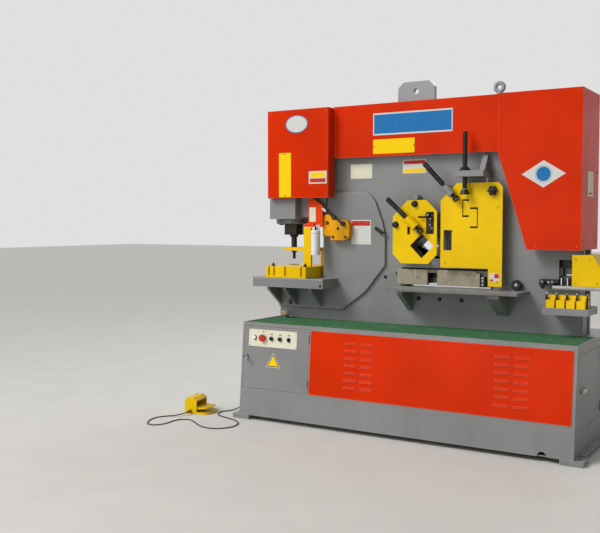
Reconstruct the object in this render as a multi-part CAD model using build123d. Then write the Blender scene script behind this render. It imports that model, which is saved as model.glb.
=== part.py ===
from build123d import *
import os
from math import atan2, cos, degrees, hypot, radians, sin, tan

os.makedirs("parts", exist_ok=True)

# Hydraulic ironworker. Millimetres, +Z up, +X along the machine, front towards -Y.
# The origin is the centre of the base's footprint on the floor.

# Clearances
seat_gap = 0.3
slide_gap = 0.5
door_gap = 3.0
pin_gap = 0.3
hole_gap = 1.0
overcut = 1.0

# Base cabinet
base_length = 2600.0
base_depth = 1150.0
base_height = 752.0
foot_height = 37.0
front_setback = 64.0
cabinet_sheet = 6.0
deck_thickness = 16.0
bulkhead_y = -200.0
skirt_notch_from_right = 202.0
skirt_notch_radius = 32.0
edge_lip_width = 8.0
edge_lip_height = 10.0
side_rail_width = 42.0
side_rail_thickness = 8.0
pipe_slot_half = 60.0

# Door and louvre panel in the leaning front
door_side_margin = 20.0
door_length = 590.0
door_low = 218.0
door_top_margin = 18.0
door_depth = 20.0
door_sheet = 3.0
panel_from_door = 17.0
panel_side_margin = 20.0
panel_low = 216.0
panel_top_margin = 22.0
panel_sheet = 3.0
panel_overlap = 20.0

# Opening and latch in the right end
side_opening_inset = 115.0
side_opening_length = 580.0
side_opening_low = 200.0
side_opening_top_margin = 62.0
side_latch_inset = 39.0
side_latch_rise = 10.0
side_cam_reach = 50.0

# Door hinges
hinge_radius = 5.0
hinge_pin_radius = 2.5
hinge_length = 60.0
hinge_leaf_reach = 14.0
hinge_leaf_thickness = 2.0
hinge_inset = 70.0

# Feet and anchors
foot_plate_length = 150.0
foot_plate_width = 130.0
foot_plate_out = 62.0
anchor_hole_radius = 13.0
anchor_from_edge = 30.0
anchor_from_front = 62.0

# Louvres
louvre_width = 90.0
louvre_height = 17.0
louvre_brow = 9.0
louvre_depth = 9.0
louvre_slot = 6.0
louvre_rows = 7
louvre_low_margin = 74.0
louvre_top_margin = 28.0
louvre_column_pitch = 133.0
louvre_left_inset = 345.0
louvre_right_inset = 334.0

# Work mat
mat_thickness = 5.0
mat_inset = 12.0

# Frame plates
frame_front_y = 25.0
plate_thickness = 40.0
plate_gap = 134.0
frame_left_x = -1300.0
nose_x = -1090.0
frame_right_x = 1200.0
frame_top = 2440.0
throat_back_x = -870.0
throat_top = 1590.0
throat_low = 1022.0
throat_corner_radius = 25.0

# Cheeks that stiffen the throat
cheek_thickness = 22.0
cheek_top = 1788.0
cheek_shoulder_x = -430.0
cheek_shoulder_radius = 140.0
cheek_knee_x = -336.0
cheek_knee_z = 1541.0
cheek_right_x = -315.0
cheek_waist_high = 1447.0
cheek_waist_low = 1213.0
cheek_sweep_x = -480.0
cheek_sweep_z = 1005.0
cheek_sweep_radius = 300.0
cheek_foot_x = -694.0
cheek_low = 846.0

# Bars between the frame plates
throat_bar_width = 70.0
throat_bar_overrun = 30.0
nose_bar_low = 900.0
head_bar_width = 80.0
head_bar_rise = 80.0
head_bar_drop = 140.0
tie_radius = 25.0
tie_drop = 38.0
tie_x = (-700.0, -480.0, 300.0)
foot_bar_width = 60.0
foot_bar_height = 198.0
foot_bar_inset = 10.0
middle_bar_x = -330.0
guide_bar_width = 42.0
guide_low_overrun = 95.0
guide_top_overrun = 40.0
right_guide_rise = 50.0

# Covers
cover_sheet = 3.0
cover_lip = 15.0
cover_rail_height = 20.0
cover_rail_drop = 60.0
cover_rail_inset = 20.0
head_left_x = -1326.0
head_right_x = -752.0
head_front_y = -125.0
head_low = 1743.0
head_top = 2455.0
beam_right_x = 621.0
beam_front_y = -37.0
beam_low = 2055.0
beam_top = 2463.0
column_right_x = 1210.0
column_front_y = -105.0
column_low = 1355.0
column_top = 2458.0
column_knee_z = 2047.0
column_slant_x = 837.0

# Lifting
lug_thickness = 40.0
lug_left_x = -260.0
lug_right_x = 45.0
lug_top = 2632.0
lug_shoulder = 46.0
lug_shoulder_radius = 18.0
lug_hole_radius = 22.0
lug_hole_drop = 75.0
lug_root_drop = 60.0
lug_root_height = 40.0
eye_x = 598.0
eye_y = -10.0
eye_ring_radius = 30.0
eye_wire_radius = 15.0
eye_foot_radius = 20.0
eye_foot_height = 14.0
eye_lift = 6.0

# Punch end
ram_x = -1230.0
housing_left_x = -1340.0
housing_front_y = -75.0
housing_low = 1574.0
ram_radius = 52.0
flange_radius = 150.0
flange_thickness = 41.0
flange_edge = 8.0
piston_radius = 72.0
piston_height = 60.0
piston_rest_gap = 20.0
cylinder_wall = 18.0
cylinder_foot_wall = 30.0
cylinder_head_wall = 40.0
cylinder_top = 2360.0
coupling_radius = 84.0
coupling_sides = 8
coupling_height = 90.0
punch_radius = 24.0
punch_tip_radius = 13.0
punch_tip_length = 55.0
punch_tip_z = 1240.0

# Punch table and bolster
table_left_x = -1412.0
table_right_x = -739.0
table_front_y = -225.0
table_back_y = 400.0
table_thickness = 76.0
table_corner_radius = 8.0
gusset_thickness = 22.0
gusset_reach = 185.0
gusset_nose = 25.0
gusset_low = 860.0
gusset_x = (-1284.0, -1124.0, -885.0)
die_block_height = 92.0
die_block_left_x = -1288.0
die_block_right_x = -905.0
die_block_front_y = -215.0
die_block_back_y = 385.0
die_block_corner_radius = 6.0
t_slot_x = (-1255.0, -1206.0, -1100.0, -948.0)
t_slot_width = 14.0
t_slot_depth = 60.0
t_slot_rise = 14.0
die_radius = 45.0
die_height = 26.0
die_rise = 4.0
die_bore_radius = 13.6
drop_hole_margin = 12.0

# Stripper
stripper_low = 1310.0
stripper_thickness = 28.0
stripper_slot_radius = 34.0
stripper_left_x = -1285.0
stripper_front_y = -70.0
stripper_arm_front = 75.0
stripper_arm_back = 95.0
stripper_post_x = -1012.0
stripper_post_width = 68.0
stripper_post_depth = 24.0
stripper_post_top = 1505.0

# Red stroke plate
stroke_plate_left_x = -974.0
stroke_plate_right_x = -840.0
stroke_plate_y = -60.0
stroke_plate_thickness = 8.0
stroke_plate_low = 1509.0
stroke_plate_top = 1743.0
stroke_plate_shoulder = 40.0
stroke_plate_drop = 60.0
stroke_foot_left_x = -1021.0
stroke_foot_high = 1545.0
stroke_foot_slope = 20.0

# Switch canister under the stroke plate
switch_radius = 37.0
switch_x = -883.0
switch_low = 1285.0
switch_top = 1485.0
switch_corner_radius = 10.0
switch_strap_half = 18.0
switch_strap_thickness = 6.0
switch_strap_length = 60.0

# Lever block and lever
lever_block_left_x = -852.0
lever_block_right_x = -600.0
lever_block_low = 1403.0
lever_block_mid_z = 1565.0
lever_block_top = 1611.0
lever_block_depth = 60.0
lever_block_radius = 48.0
lever_ear_width = 83.0
lever_ear_low = 1435.0
lever_ear_radius = 38.0
lever_ear_setback = 20.0
lever_ear_hole_radius = 17.0
lever_ear_hole_drop = 70.0
lever_bridge_low = 1445.0
lever_bridge_high = 1520.0
lever_bridge_half = 6.0
lever_pivot_x = -650.0
lever_pivot_z = 1537.0
lever_tip_x = -800.0
lever_tip_z = 1647.0
lever_pin_radius = 8.0
lever_pin_depth = 30.0
lever_hub_radius = 18.0
lever_hub_length = 26.0
lever_grip_radius = 13.0
lever_grip_length = 110.0

# Shear slide between the frame plates
slide_left_x = -200.0
slide_right_x = 1110.0
slide_low = 1125.0
slide_top = 1950.0
slide_thickness = 118.0
slide_arm_right_x = 1190.0
slide_arm_top = 1290.0
notch_arm_drop = 60.0
notch_arm_overrun = 10.0
insert_thickness = 22.0
shear_cylinder_x = 880.0
shear_piston_radius = 85.0
shear_rod_radius = 45.0
shear_cylinder_wall = 28.0
shear_cylinder_top = 2400.0
cylinder_seat_z = 1980.0
cylinder_seat_half = 130.0
cylinder_seat_flange = 22.0
cylinder_seat_gap = 2.0

# Angle shear
angle_x = 25.0
angle_z = 1370.0
angle_half_diagonal = 95.0
angle_window_half = 130.0
angle_window_drop = 98.0
angle_insert_half = 118.0
angle_insert_drop = 96.0
angle_insert_rise = 114.0
blade_thickness = 36.0

# Section shear: two channel outlines and a bar opening
section_window_left_x = 190.0
section_window_right_x = 600.0
section_window_low = 1330.0
section_window_high = 1790.0
section_insert_left_inset = 4.0
section_insert_low_inset = 2.0
section_insert_right_inset = 60.0
section_insert_high_inset = 40.0
channel_web = 7.0
channel_flange = 12.0
channel_a_x = 345.0
channel_a_width = 52.0
channel_a_low = 1586.0
channel_a_high = 1716.0
channel_b_x = 465.0
channel_b_width = 60.0
channel_b_low = 1505.0
channel_b_high = 1656.0
bar_left_x = 201.0
bar_right_x = 265.0
bar_low = 1340.0
bar_high = 1490.0

# Guards
guard_front_y = -65.0
guard_thickness = 10.0
guard_post_radius = 16.0
guard_post_inset = 36.0
angle_guard_left_x = -214.0
angle_guard_right_x = 147.0
angle_guard_low = 1235.0
angle_guard_top = 1715.0
angle_guard_low_cut = 70.0
angle_guard_left_cut = 123.0
angle_guard_right_cut = 86.0
tall_slot_x = 92.0
tall_slot_half = 32.0
tall_slot_low = 1460.0
tall_slot_high = 1625.0
small_slot_x = -82.0
small_slot_half = 12.0
small_slot_low = 1455.0
small_slot_high = 1514.0
section_guard_left_x = 177.0
section_guard_right_x = 648.0
section_guard_low = 1084.0
section_guard_step_z = 1212.0
section_guard_leg_x = 545.0
section_guard_top = 1835.0
section_guard_left_cut = 126.0
section_guard_right_cut = 32.0
knob_x = 578.0
knob_z = 1773.0
knob_radius = 28.0
knob_lobes = 6
knob_lobe_radius = 9.0
knob_height = 34.0
knob_cap_radius = 20.0
knob_cap_height = 9.0
knob_stud_radius = 8.0

# Plate shear
plate_slot_left_x = -175.0
plate_slot_right_x = 535.0
plate_slot_high = 1200.0
plate_table_top = 1057.0
plate_table_left_x = -174.0
plate_table_right_x = 819.0
plate_table_front_y = -250.0
plate_table_thickness = 22.0
table_bracket_x = (-125.0, 586.0)
table_bracket_width = (40.0, 89.0)
table_bracket_reach = (200.0, 230.0)
table_bracket_height = 190.0
table_bracket_nose = 50.0
lower_blade_height = 40.0
upper_blade_drop = 14.0
upper_blade_rise = 40.0
upper_blade_inset = 5.0
plate_capacity = 16.0
hold_down_thickness = 24.0
hold_down_top = 1190.0
hold_down_overlap = 24.0
hold_down_window_x = 51.0
hold_down_window_width = 75.0
hold_down_window_height = 92.0

# Clamp screws: each runs from its outer end towards its foot
section_screw_x = 381.0
section_screw_y = -112.0
section_screw_top = 2202.0
section_foot_low = 1749.0
bracket_low = 1876.0
bracket_thickness = 42.0
bracket_left_x = 322.0
bracket_right_x = 538.0
bracket_reach = 55.0
bracket_rib_height = 125.0
bracket_rib_top = 30.0
bracket_rib_width = 40.0
bracket_rib_inset = 20.0
bush_radius = 38.0
bush_neck_radius = 22.0
bush_height = 28.0
screw_radius = 16.0
screw_chamfer = 3.0
screw_foot_radius = 36.0
screw_foot_height = 38.0
screw_neck_radius = 22.0
screw_socket_depth = 16.0
slant_y = -106.0
slant_screw_radius = 13.0
slant_foot_radius = 24.0
slant_foot_length = 26.0
slant_grip_length = 214.0
slant_grip_radius = 18.0
slant_grip_end = 7.0
slant_boss_end = 326.0
slant_web_length = 28.0
slant_foot_gap = 30.0
slant_tail = 12.0
angle_clamp_start = (-244.0, 1728.0)
angle_clamp_slope = 42.0
angle_boss_length = 100.0
angle_boss_radius = 34.0
bar_clamp_start = (58.0, 1986.0)
bar_clamp_slope = 46.5
bar_boss_length = 84.0
bar_boss_radius = 28.0

# Cap screws
bolt_radius = 11.0
bolt_height = 12.0
table_bolt_z = 965.0
table_bolt_x = (-35.0, 137.0, 311.0)
wall_bolts = ((-212.0, 1150.0), (915.0, 1095.0))
guard_bolt_radius = 20.0
guard_bolt_height = 22.0
guard_bolts = ((-32.0, 1686.0), (-190.0, 1529.0))

# Notcher
notcher_left_x = 987.0
notcher_right_x = 1291.0
notcher_front_y = -225.0
notcher_tray_low = 921.0
notcher_tray_height = 47.0
notcher_tray_wall = 8.0
notcher_pillar_inset = 40.0
notcher_pillar_front_y = -60.0
notcher_table_inset = 30.0
notcher_table_front_y = -95.0
notcher_table_top = 1110.0
notcher_table_thickness = 25.0
notcher_table_right_x = 1345.0
notch_left_x = 1030.0
notch_window_high = 1285.0
notch_die_height = 55.0
notch_die_right_x = 1185.0
notch_die_wall = 18.0
notch_die_half_depth = 62.0
notch_half_width = 30.0
notch_gap = 16.0
notch_slug_gap = 2.0
notcher_guard_height = 215.0
notcher_guard_sheet = 6.0
notcher_guard_left_x = 1149.0
notcher_guard_inset = 5.0
notcher_guard_slope_x = 55.0
notcher_guard_slope_z = 90.0
gauge_count = 4
gauge_height = 54.0
gauge_step_height = 30.0
gauge_step_depth = 56.0
gauge_back_y = -110.0
gauge_inset = 24.0
gauge_pitch = 68.0
gauge_gap = 12.0
stop_bar_left_x = 912.0
stop_bar_right_x = 1046.0
stop_bar_front_y = -42.0
stop_bar_height = 38.0

# Oil tank
tank_left_x = -600.0
tank_right_x = 330.0
tank_front_y = 190.0
tank_back_y = 545.0
tank_height = 430.0
tank_sheet = 8.0
tank_corner_radius = 20.0
breather_x = -1180.0
breather_y = -70.0
breather_neck_radius = 20.0
breather_neck_height = 28.0
breather_cap_radius = 33.0
breather_cap_height = 34.0
breather_cap_edge = 5.0

# Motor and pump
motor_x = 700.0
motor_y = -90.0
motor_axis_z = 243.0
motor_radius = 150.0
motor_length = 340.0
motor_foot_half = 130.0
motor_foot_inset = 40.0
motor_foot_drop = 60.0
cowl_length = 90.0
cowl_sheet = 4.0
terminal_half_length = 60.0
terminal_half_width = 50.0
terminal_low = 120.0
terminal_high = 205.0
bell_length = 130.0
bell_radius = 95.0
bell_wall = 10.0
shaft_radius = 19.0
shaft_overrun = 60.0
hub_radius = 45.0
hub_length = 60.0
hub_inset = 35.0
fan_hub_radius = 50.0
fan_inset = 25.0
fan_width = 30.0
fan_blades = 6
fan_blade_reach = 90.0
fan_blade_thickness = 5.0
pump_radius = 70.0
pump_length = 150.0
port_radius = 24.0
port_height = 20.0
port_root = 15.0

# Hydraulic pipes
pipe_radius = 14.0
pipe_bend = 60.0
pipe_x = -500.0
pipe_half_pitch = 30.0
pipe_run_z = 620.0
shear_port_z = 2120.0
punch_port_drop = 25.0

# Switchgear behind the door
gear_panel_left_inset = 40.0
gear_panel_right_inset = 50.0
gear_panel_thickness = 4.0
gear_panel_rise = 87.0
gear_panel_drop = 76.0
gear_row_low = 287.0
gear_row_pitch = 190.0
gear_row_count = 2
gear_rail_inset = 20.0
gear_rail_height = 36.0
gear_rail_depth = 8.0
gear_count = 5
gear_inset = 40.0
gear_pitch = 90.0
gear_width = 62.0
gear_height = 90.0
gear_depth = 80.0

# Operator's parts on the door
control_inset = 41.0
control_length = 443.0
control_top_gap = 24.0
control_height = 133.0
control_thickness = 2.0
button_rise = 68.0
lamp_inset = 98.0
button_pitch = 78.5
stem_radius = 9.0
lamp_radius = 14.0
lamp_height = 14.0
collar_rim = 4.0
collar_height = 7.0
estop_radius = 27.0
estop_height = 30.0
estop_travel = 4.0
button_radius = 15.0
button_height = 20.0
button_travel = 3.0
button_edge = 2.0
selector_head = 10.0
selector_bar_half = 4.0

# Latches
latch_inset = 28.0
latch_stem_radius = 9.0
latch_stem_overrun = 6.0
latch_wing_half_width = 5.0
latch_wing_half_length = 22.0
latch_wing_height = 10.0
latch_wing_radius = 4.0
latch_rosette_radius = 16.0
latch_rosette_height = 8.0
latch_cam_half_width = 9.0
latch_cam_reach = 40.0
latch_cam_thickness = 4.0
side_grip_back = 12.0
side_grip_reach = 92.0
side_grip_half_width = 11.0
side_grip_height = 12.0
side_grip_radius = 6.0

# Foot switch on the floor, placed by the middle of its rear face and turned about Z
pedal_x = -1794.5
pedal_y = -575.0
pedal_heading = 12.0
pedal_length = 215.0
pedal_width = 190.0
hood_length = 105.0
hood_height = 132.0
hood_wall = 6.0
hood_back_wall = 22.0
hood_back_slope = 20.0
hood_crown = 30.0
hood_brow = 20.0
tread_height = 14.0
tread_corner_radius = 45.0
pedal_pivot_x = 40.0
pedal_pivot_z = 42.0
pedal_pin_radius = 5.0
pedal_side_gap = 5.0
pedal_toe_inset = 12.0
pedal_toe_radius = 35.0
pedal_thickness = 10.0
pedal_toe_rise = 5.0
pedal_heel = 10.0
pedal_gland_x = 50.0
pedal_gland_z = 24.0

# Cord
cord_radius = 4.5
gland_radius = 11.0
gland_length = 20.0
base_gland_y = -330.0
base_gland_z = 95.0
corner_share = 0.45

# The cabinet's leaning front: x along it, second axis up the slope, third outwards
lean = atan2(front_setback, base_height - foot_height)
front = Plane(
    origin=(0, -base_depth / 2, foot_height),
    x_dir=(1, 0, 0),
    z_dir=(0, -cos(lean), sin(lean)),
)
half_length = base_length / 2
half_depth = base_depth / 2
front_height = hypot(front_setback, base_height - foot_height)
deck_front_y = -half_depth + front_setback
floor_top = foot_height + cabinet_sheet
deck_underside = base_height - deck_thickness
mat_top = base_height + mat_thickness

# Places in the leaning front
door_left_x = -half_length + door_side_margin
door_right_x = door_left_x + door_length
door_high = front_height - door_top_margin
panel_left_x = door_right_x + panel_from_door
panel_right_x = half_length - panel_side_margin
panel_high = front_height - panel_top_margin
louvre_low = panel_low + louvre_low_margin
louvre_pitch = (panel_high - louvre_top_margin - louvre_low) / louvre_rows
louvre_columns = (
    panel_left_x + louvre_left_inset,
    panel_left_x + louvre_left_inset + louvre_column_pitch,
    panel_right_x - louvre_right_inset - louvre_column_pitch,
    panel_right_x - louvre_right_inset,
)
control_left_x = door_left_x + control_inset
control_right_x = control_left_x + control_length
control_high = door_high - control_top_gap
control_low = control_high - control_height
button_v = control_low + button_rise
lamp_x = door_left_x + lamp_inset
estop_x = lamp_x + button_pitch
start_x = estop_x + button_pitch
stop_x = start_x + button_pitch
selector_x = stop_x + button_pitch
latch_x = door_left_x + latch_inset
latch_v = (door_low + door_high) / 2

# Places in the right end
side_opening_front = -half_depth + side_opening_inset
side_opening_back = side_opening_front + side_opening_length
side_opening_high = base_height - side_opening_top_margin
side_latch_y = side_opening_front + side_latch_inset
side_latch_z = (side_opening_low + side_opening_high) / 2 + side_latch_rise

# Depths of the frame and of what runs between its plates
spacer_front_y = frame_front_y + plate_thickness
spacer_back_y = spacer_front_y + plate_gap
frame_back_y = spacer_back_y + plate_thickness
frame_middle_y = (frame_front_y + frame_back_y) / 2
cheek_front_y = frame_front_y - cheek_thickness
cheek_back_y = frame_back_y + cheek_thickness
slide_front_y = frame_middle_y - slide_thickness / 2
slide_back_y = frame_middle_y + slide_thickness / 2
fixed_back_y = slide_front_y - slide_gap
fixed_front_y = fixed_back_y - blade_thickness

# Heights at the punch end
housing_top = head_low - hole_gap
table_low = throat_low
table_top = table_low + table_thickness
die_block_top = table_top + die_block_height
flange_top = housing_low - seat_gap
flange_low = flange_top - flange_thickness

# Places of the motor, the pump and its port
motor_left_x = motor_x - motor_length / 2
motor_right_x = motor_x + motor_length / 2
bell_left_x = motor_left_x - bell_length
pump_port_x = bell_left_x - pump_length / 2
port_top = motor_axis_z + pump_radius + port_height


def between(x0, x1, y0, y1, z0, z1):
    """Box between two corners."""
    size = Box(x1 - x0, y1 - y0, z1 - z0)
    return Pos((x0 + x1) / 2, (y0 + y1) / 2, (z0 + z1) / 2) * size


def post_z(x, y, z0, z1, radius):
    """Upright cylinder."""
    return Pos(x, y, (z0 + z1) / 2) * Cylinder(radius, z1 - z0)


def post_y(x, z, y0, y1, radius):
    """Cylinder that runs from front to back."""
    return Pos(x, (y0 + y1) / 2, z) * Rot(90, 0, 0) * Cylinder(radius, y1 - y0)


def post_x(y, z, x0, x1, radius):
    """Cylinder that runs along the machine."""
    return Pos((x0 + x1) / 2, y, z) * Rot(0, 90, 0) * Cylinder(radius, x1 - x0)


def upright(sketch, y0, y1):
    """Extrude a profile drawn in X and Z from y0 back to y1."""
    plane = Plane(origin=(0, y1, 0), x_dir=(1, 0, 0), z_dir=(0, -1, 0))
    return extrude(plane * sketch, amount=y1 - y0)


def crosswise(sketch, x0, x1):
    """Extrude a profile drawn in Y and Z from x0 to x1."""
    plane = Plane(origin=(x0, 0, 0), x_dir=(0, 1, 0), z_dir=(1, 0, 0))
    return extrude(plane * sketch, amount=x1 - x0)


def outline(*points):
    """Closed face through the given points."""
    return make_face(Polyline(*points, close=True))


def oblong(x0, x1, z0, z1):
    """Rectangle between two corners."""
    return Pos((x0 + x1) / 2, (z0 + z1) / 2) * Rectangle(x1 - x0, z1 - z0)


def rounded_corner(face, x, z, radius):
    """Round the corner of a profile that lies nearest to a point."""
    corner = face.vertices().sort_by_distance((x, z, 0))[0]
    return fillet(corner, radius)


def save(name, *solids):
    """Write one piece, or a group of separate solids, as one file."""
    shape = solids[0] if len(solids) == 1 else Compound(children=list(solids))
    export_step(shape, f"parts/{name}.step")


def on_front(shape):
    """Place a shape drawn on the leaning front."""
    return front.location * shape


def slab_on_front(x0, x1, v0, v1, w0, w1):
    """Box on the leaning front between two corners."""
    return on_front(between(x0, x1, v0, v1, w0, w1))


# Hinges: the door lies towards local -X and opens towards local -Y
hinge_third = hinge_length / 3
hinge_axis_out = hinge_radius + seat_gap
front_hinge_x = door_right_x + door_gap / 2


def hinge_leaf(side, low, high):
    """Flat leaf with its knuckle, one stretch of a hinge along Z."""
    ends = sorted((0, side * hinge_leaf_reach))
    leaf = between(ends[0], ends[1], -hinge_leaf_thickness, 0, low, high)
    return leaf + post_z(0, -hinge_axis_out, low, high, hinge_radius)


def door_leaf():
    """Middle third of a hinge, bored for the pin."""
    reach = hinge_third / 2 - seat_gap
    bore = post_z(0, -hinge_axis_out, -hinge_third, hinge_third, hinge_pin_radius + pin_gap)
    return hinge_leaf(-1, -reach, reach) - bore


def cabinet_leaf():
    """Outer thirds of a hinge with the pin through them."""
    reach = hinge_length / 2
    low = hinge_leaf(1, -reach, -hinge_third / 2)
    high = hinge_leaf(1, hinge_third / 2, reach)
    return low + high + post_z(0, -hinge_axis_out, -reach, reach, hinge_pin_radius)


def front_hinge_places():
    """Places of the two hinges of the door in the leaning front."""
    places = []
    for v in (door_low + hinge_inset, door_high - hinge_inset):
        spot = front.from_local_coords(Vector(front_hinge_x, v, 0))
        places.append(Plane(origin=spot, x_dir=(1, 0, 0), z_dir=front.y_dir).location)
    return places


def side_hinge_places():
    """Places of the two hinges of the door in the right end."""
    places = []
    for z in (side_opening_low + hinge_inset, side_opening_high - hinge_inset):
        spot = (half_length, side_opening_back - door_gap / 2, z)
        places.append(Plane(origin=spot, x_dir=(0, 1, 0), z_dir=(0, 0, 1)).location)
    return places


# Base
def cabinet_shell():
    """Closed cabinet of sheet with a leaning front, and the wall and bulkhead inside it."""
    outer = crosswise(
        outline(
            (-half_depth, foot_height),
            (deck_front_y, base_height),
            (half_depth, base_height),
            (half_depth, foot_height),
        ),
        -half_length,
        half_length,
    )
    front_inside = cabinet_sheet / cos(lean)
    slope = front_setback / (base_height - foot_height)
    inner = crosswise(
        outline(
            (-half_depth + slope * cabinet_sheet + front_inside, floor_top),
            (deck_front_y - slope * deck_thickness + front_inside, deck_underside),
            (half_depth - cabinet_sheet, deck_underside),
            (half_depth - cabinet_sheet, floor_top),
        ),
        -half_length + cabinet_sheet,
        half_length - cabinet_sheet,
    )
    wall_x = door_right_x + door_gap
    wall = between(wall_x, wall_x + cabinet_sheet, -half_depth, half_depth, floor_top, deck_underside)
    bulkhead = between(
        -half_length, wall_x, bulkhead_y, bulkhead_y + cabinet_sheet, floor_top, deck_underside
    )
    return outer - (inner - wall - bulkhead)


def cabinet_openings():
    """Cuts for the door, the louvre panel, the side door, the skirt notch and the pipes."""
    door_opening = slab_on_front(
        door_left_x - door_gap,
        door_right_x + door_gap,
        door_low - door_gap,
        door_high + door_gap,
        -2 * cabinet_sheet,
        cabinet_sheet,
    )
    panel_opening = slab_on_front(
        panel_left_x + panel_overlap,
        panel_right_x - panel_overlap,
        panel_low + panel_overlap,
        panel_high - panel_overlap,
        -2 * cabinet_sheet,
        cabinet_sheet,
    )
    side_hole = between(
        half_length - 2 * cabinet_sheet,
        half_length + cabinet_sheet,
        side_opening_front,
        side_opening_back,
        side_opening_low,
        side_opening_high,
    )
    notch = post_y(
        half_length - skirt_notch_from_right,
        foot_height,
        -half_depth - overcut,
        -half_depth + 2 * cabinet_sheet,
        skirt_notch_radius,
    )
    pipe_hole = between(
        pipe_x - pipe_slot_half,
        pipe_x + pipe_slot_half,
        frame_middle_y - pipe_slot_half,
        frame_middle_y + pipe_slot_half,
        deck_underside - overcut,
        base_height + overcut,
    )
    return [door_opening, panel_opening, side_hole, notch, pipe_hole]


def base_cabinet():
    """Welded cabinet with its openings, edge lips, cord gland, floor rails and hinge leaves."""
    body = cabinet_shell() - cabinet_openings()
    lip_low = base_height - overcut
    lip_top = base_height + edge_lip_height
    for x in (-half_length, half_length - edge_lip_width):
        body += between(
            x, x + edge_lip_width, deck_front_y, frame_front_y - seat_gap, lip_low, lip_top
        )
    body += between(
        -half_length, half_length, deck_front_y, deck_front_y + edge_lip_width, lip_low, lip_top
    )
    body += post_x(
        base_gland_y, base_gland_z, -half_length - gland_length, -half_length + overcut, gland_radius
    )
    rail_end = half_depth - foot_plate_width
    for side in (-1, 1):
        ends = sorted((side * half_length, side * (half_length + side_rail_width)))
        body += between(
            ends[0], ends[1], -rail_end, rail_end, foot_height, foot_height + side_rail_thickness
        )
    for place in front_hinge_places() + side_hinge_places():
        body += place * cabinet_leaf()
    return body


def foot_plates():
    """Four anchor plates that carry the cabinet's corners."""
    plates = []
    for side in (-1, 1):
        for end in (-1, 1):
            outer_x = side * (half_length + foot_plate_out)
            inner_x = outer_x - side * foot_plate_length
            xs = sorted((outer_x, inner_x))
            ys = sorted((end * half_depth, end * (half_depth - foot_plate_width)))
            plate = between(xs[0], xs[1], ys[0], ys[1], 0, foot_height)
            hole_x = outer_x - side * anchor_from_edge
            hole_y = end * (half_depth - anchor_from_front)
            plate -= post_z(hole_x, hole_y, -overcut, foot_height + overcut, anchor_hole_radius)
            plates.append(plate)
    return plates


def louvre(x, v):
    """Pressed hood and the slot below it, as the pair (add, cut)."""
    hood = crosswise(
        outline(
            (v - louvre_height, 0),
            (v - louvre_height, louvre_depth),
            (v - louvre_brow, louvre_depth),
            (v, panel_sheet),
            (v, 0),
        ),
        x - louvre_width / 2,
        x + louvre_width / 2,
    )
    throat = between(
        x - louvre_width / 2 + panel_sheet,
        x + louvre_width / 2 - panel_sheet,
        v - louvre_height - overcut,
        v - louvre_height + louvre_slot,
        -overcut,
        louvre_depth - panel_sheet,
    )
    return hood, throat


def louvre_panel():
    """Front panel with two groups of pressed louvres."""
    sheet = between(panel_left_x, panel_right_x, panel_low, panel_high, 0, panel_sheet)
    hoods = []
    throats = []
    for x in louvre_columns:
        for row in range(louvre_rows):
            hood, throat = louvre(x, louvre_low + louvre_height + row * louvre_pitch)
            hoods.append(hood)
            throats.append(throat)
    return on_front(sheet + hoods - throats)


def work_mat():
    """Rubber mat on the deck in front of the frame."""
    return between(
        -half_length + mat_inset,
        half_length - mat_inset,
        deck_front_y + mat_inset,
        frame_front_y - seat_gap,
        base_height,
        mat_top,
    )


# Cabinet door and what sits on it
def cabinet_door():
    """Folded door pan with holes for the switches, the lamp and the latch."""
    pan = between(door_left_x, door_right_x, door_low, door_high, -door_depth, 0)
    pan -= between(
        door_left_x + door_sheet,
        door_right_x - door_sheet,
        door_low + door_sheet,
        door_high - door_sheet,
        -door_depth - overcut,
        -door_sheet,
    )
    for x in (lamp_x, estop_x, start_x, stop_x, selector_x):
        pan -= post_z(x, button_v, -door_depth, overcut, stem_radius + hole_gap)
    pan -= post_z(latch_x, latch_v, -door_depth, overcut, latch_stem_radius + pin_gap)
    door = on_front(pan)
    for place in front_hinge_places():
        door += place * door_leaf()
    return door


def control_plate():
    """Pale plate with five holes, a lamp body in the first and a collar round the second."""
    plate = between(
        control_left_x, control_right_x, control_low, control_high, 0, control_thickness
    )
    for x in (estop_x, start_x, stop_x, selector_x):
        plate -= post_z(x, button_v, -overcut, control_thickness + overcut, stem_radius + hole_gap)
    collar = post_z(estop_x, button_v, control_thickness, collar_height, estop_radius + collar_rim)
    collar -= post_z(estop_x, button_v, 0, collar_height + overcut, stem_radius + hole_gap)
    lamp = post_z(lamp_x, button_v, 0, lamp_height, lamp_radius)
    lamp += post_z(lamp_x, button_v, -door_depth, 0, stem_radius)
    return on_front(plate + collar), on_front(lamp - plate)


def push_button(x, radius, low, high, travel):
    """Button head on a stem that passes through the door."""
    head = post_z(x, button_v, low + travel, high, radius)
    head = chamfer(head.edges().sort_by(Axis.Z)[-1], button_edge)
    stem = post_z(x, button_v, -door_depth, low + travel, stem_radius)
    return on_front(head + stem)


def selector():
    """Selector switch with a grip bar across it."""
    head = post_z(selector_x, button_v, control_thickness + seat_gap, selector_head, button_radius)
    bar = between(
        selector_x - selector_bar_half,
        selector_x + selector_bar_half,
        button_v - button_radius,
        button_v + button_radius,
        selector_head,
        button_height,
    )
    stem = post_z(selector_x, button_v, -door_depth, selector_head, stem_radius)
    return on_front(head + bar + stem)


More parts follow.
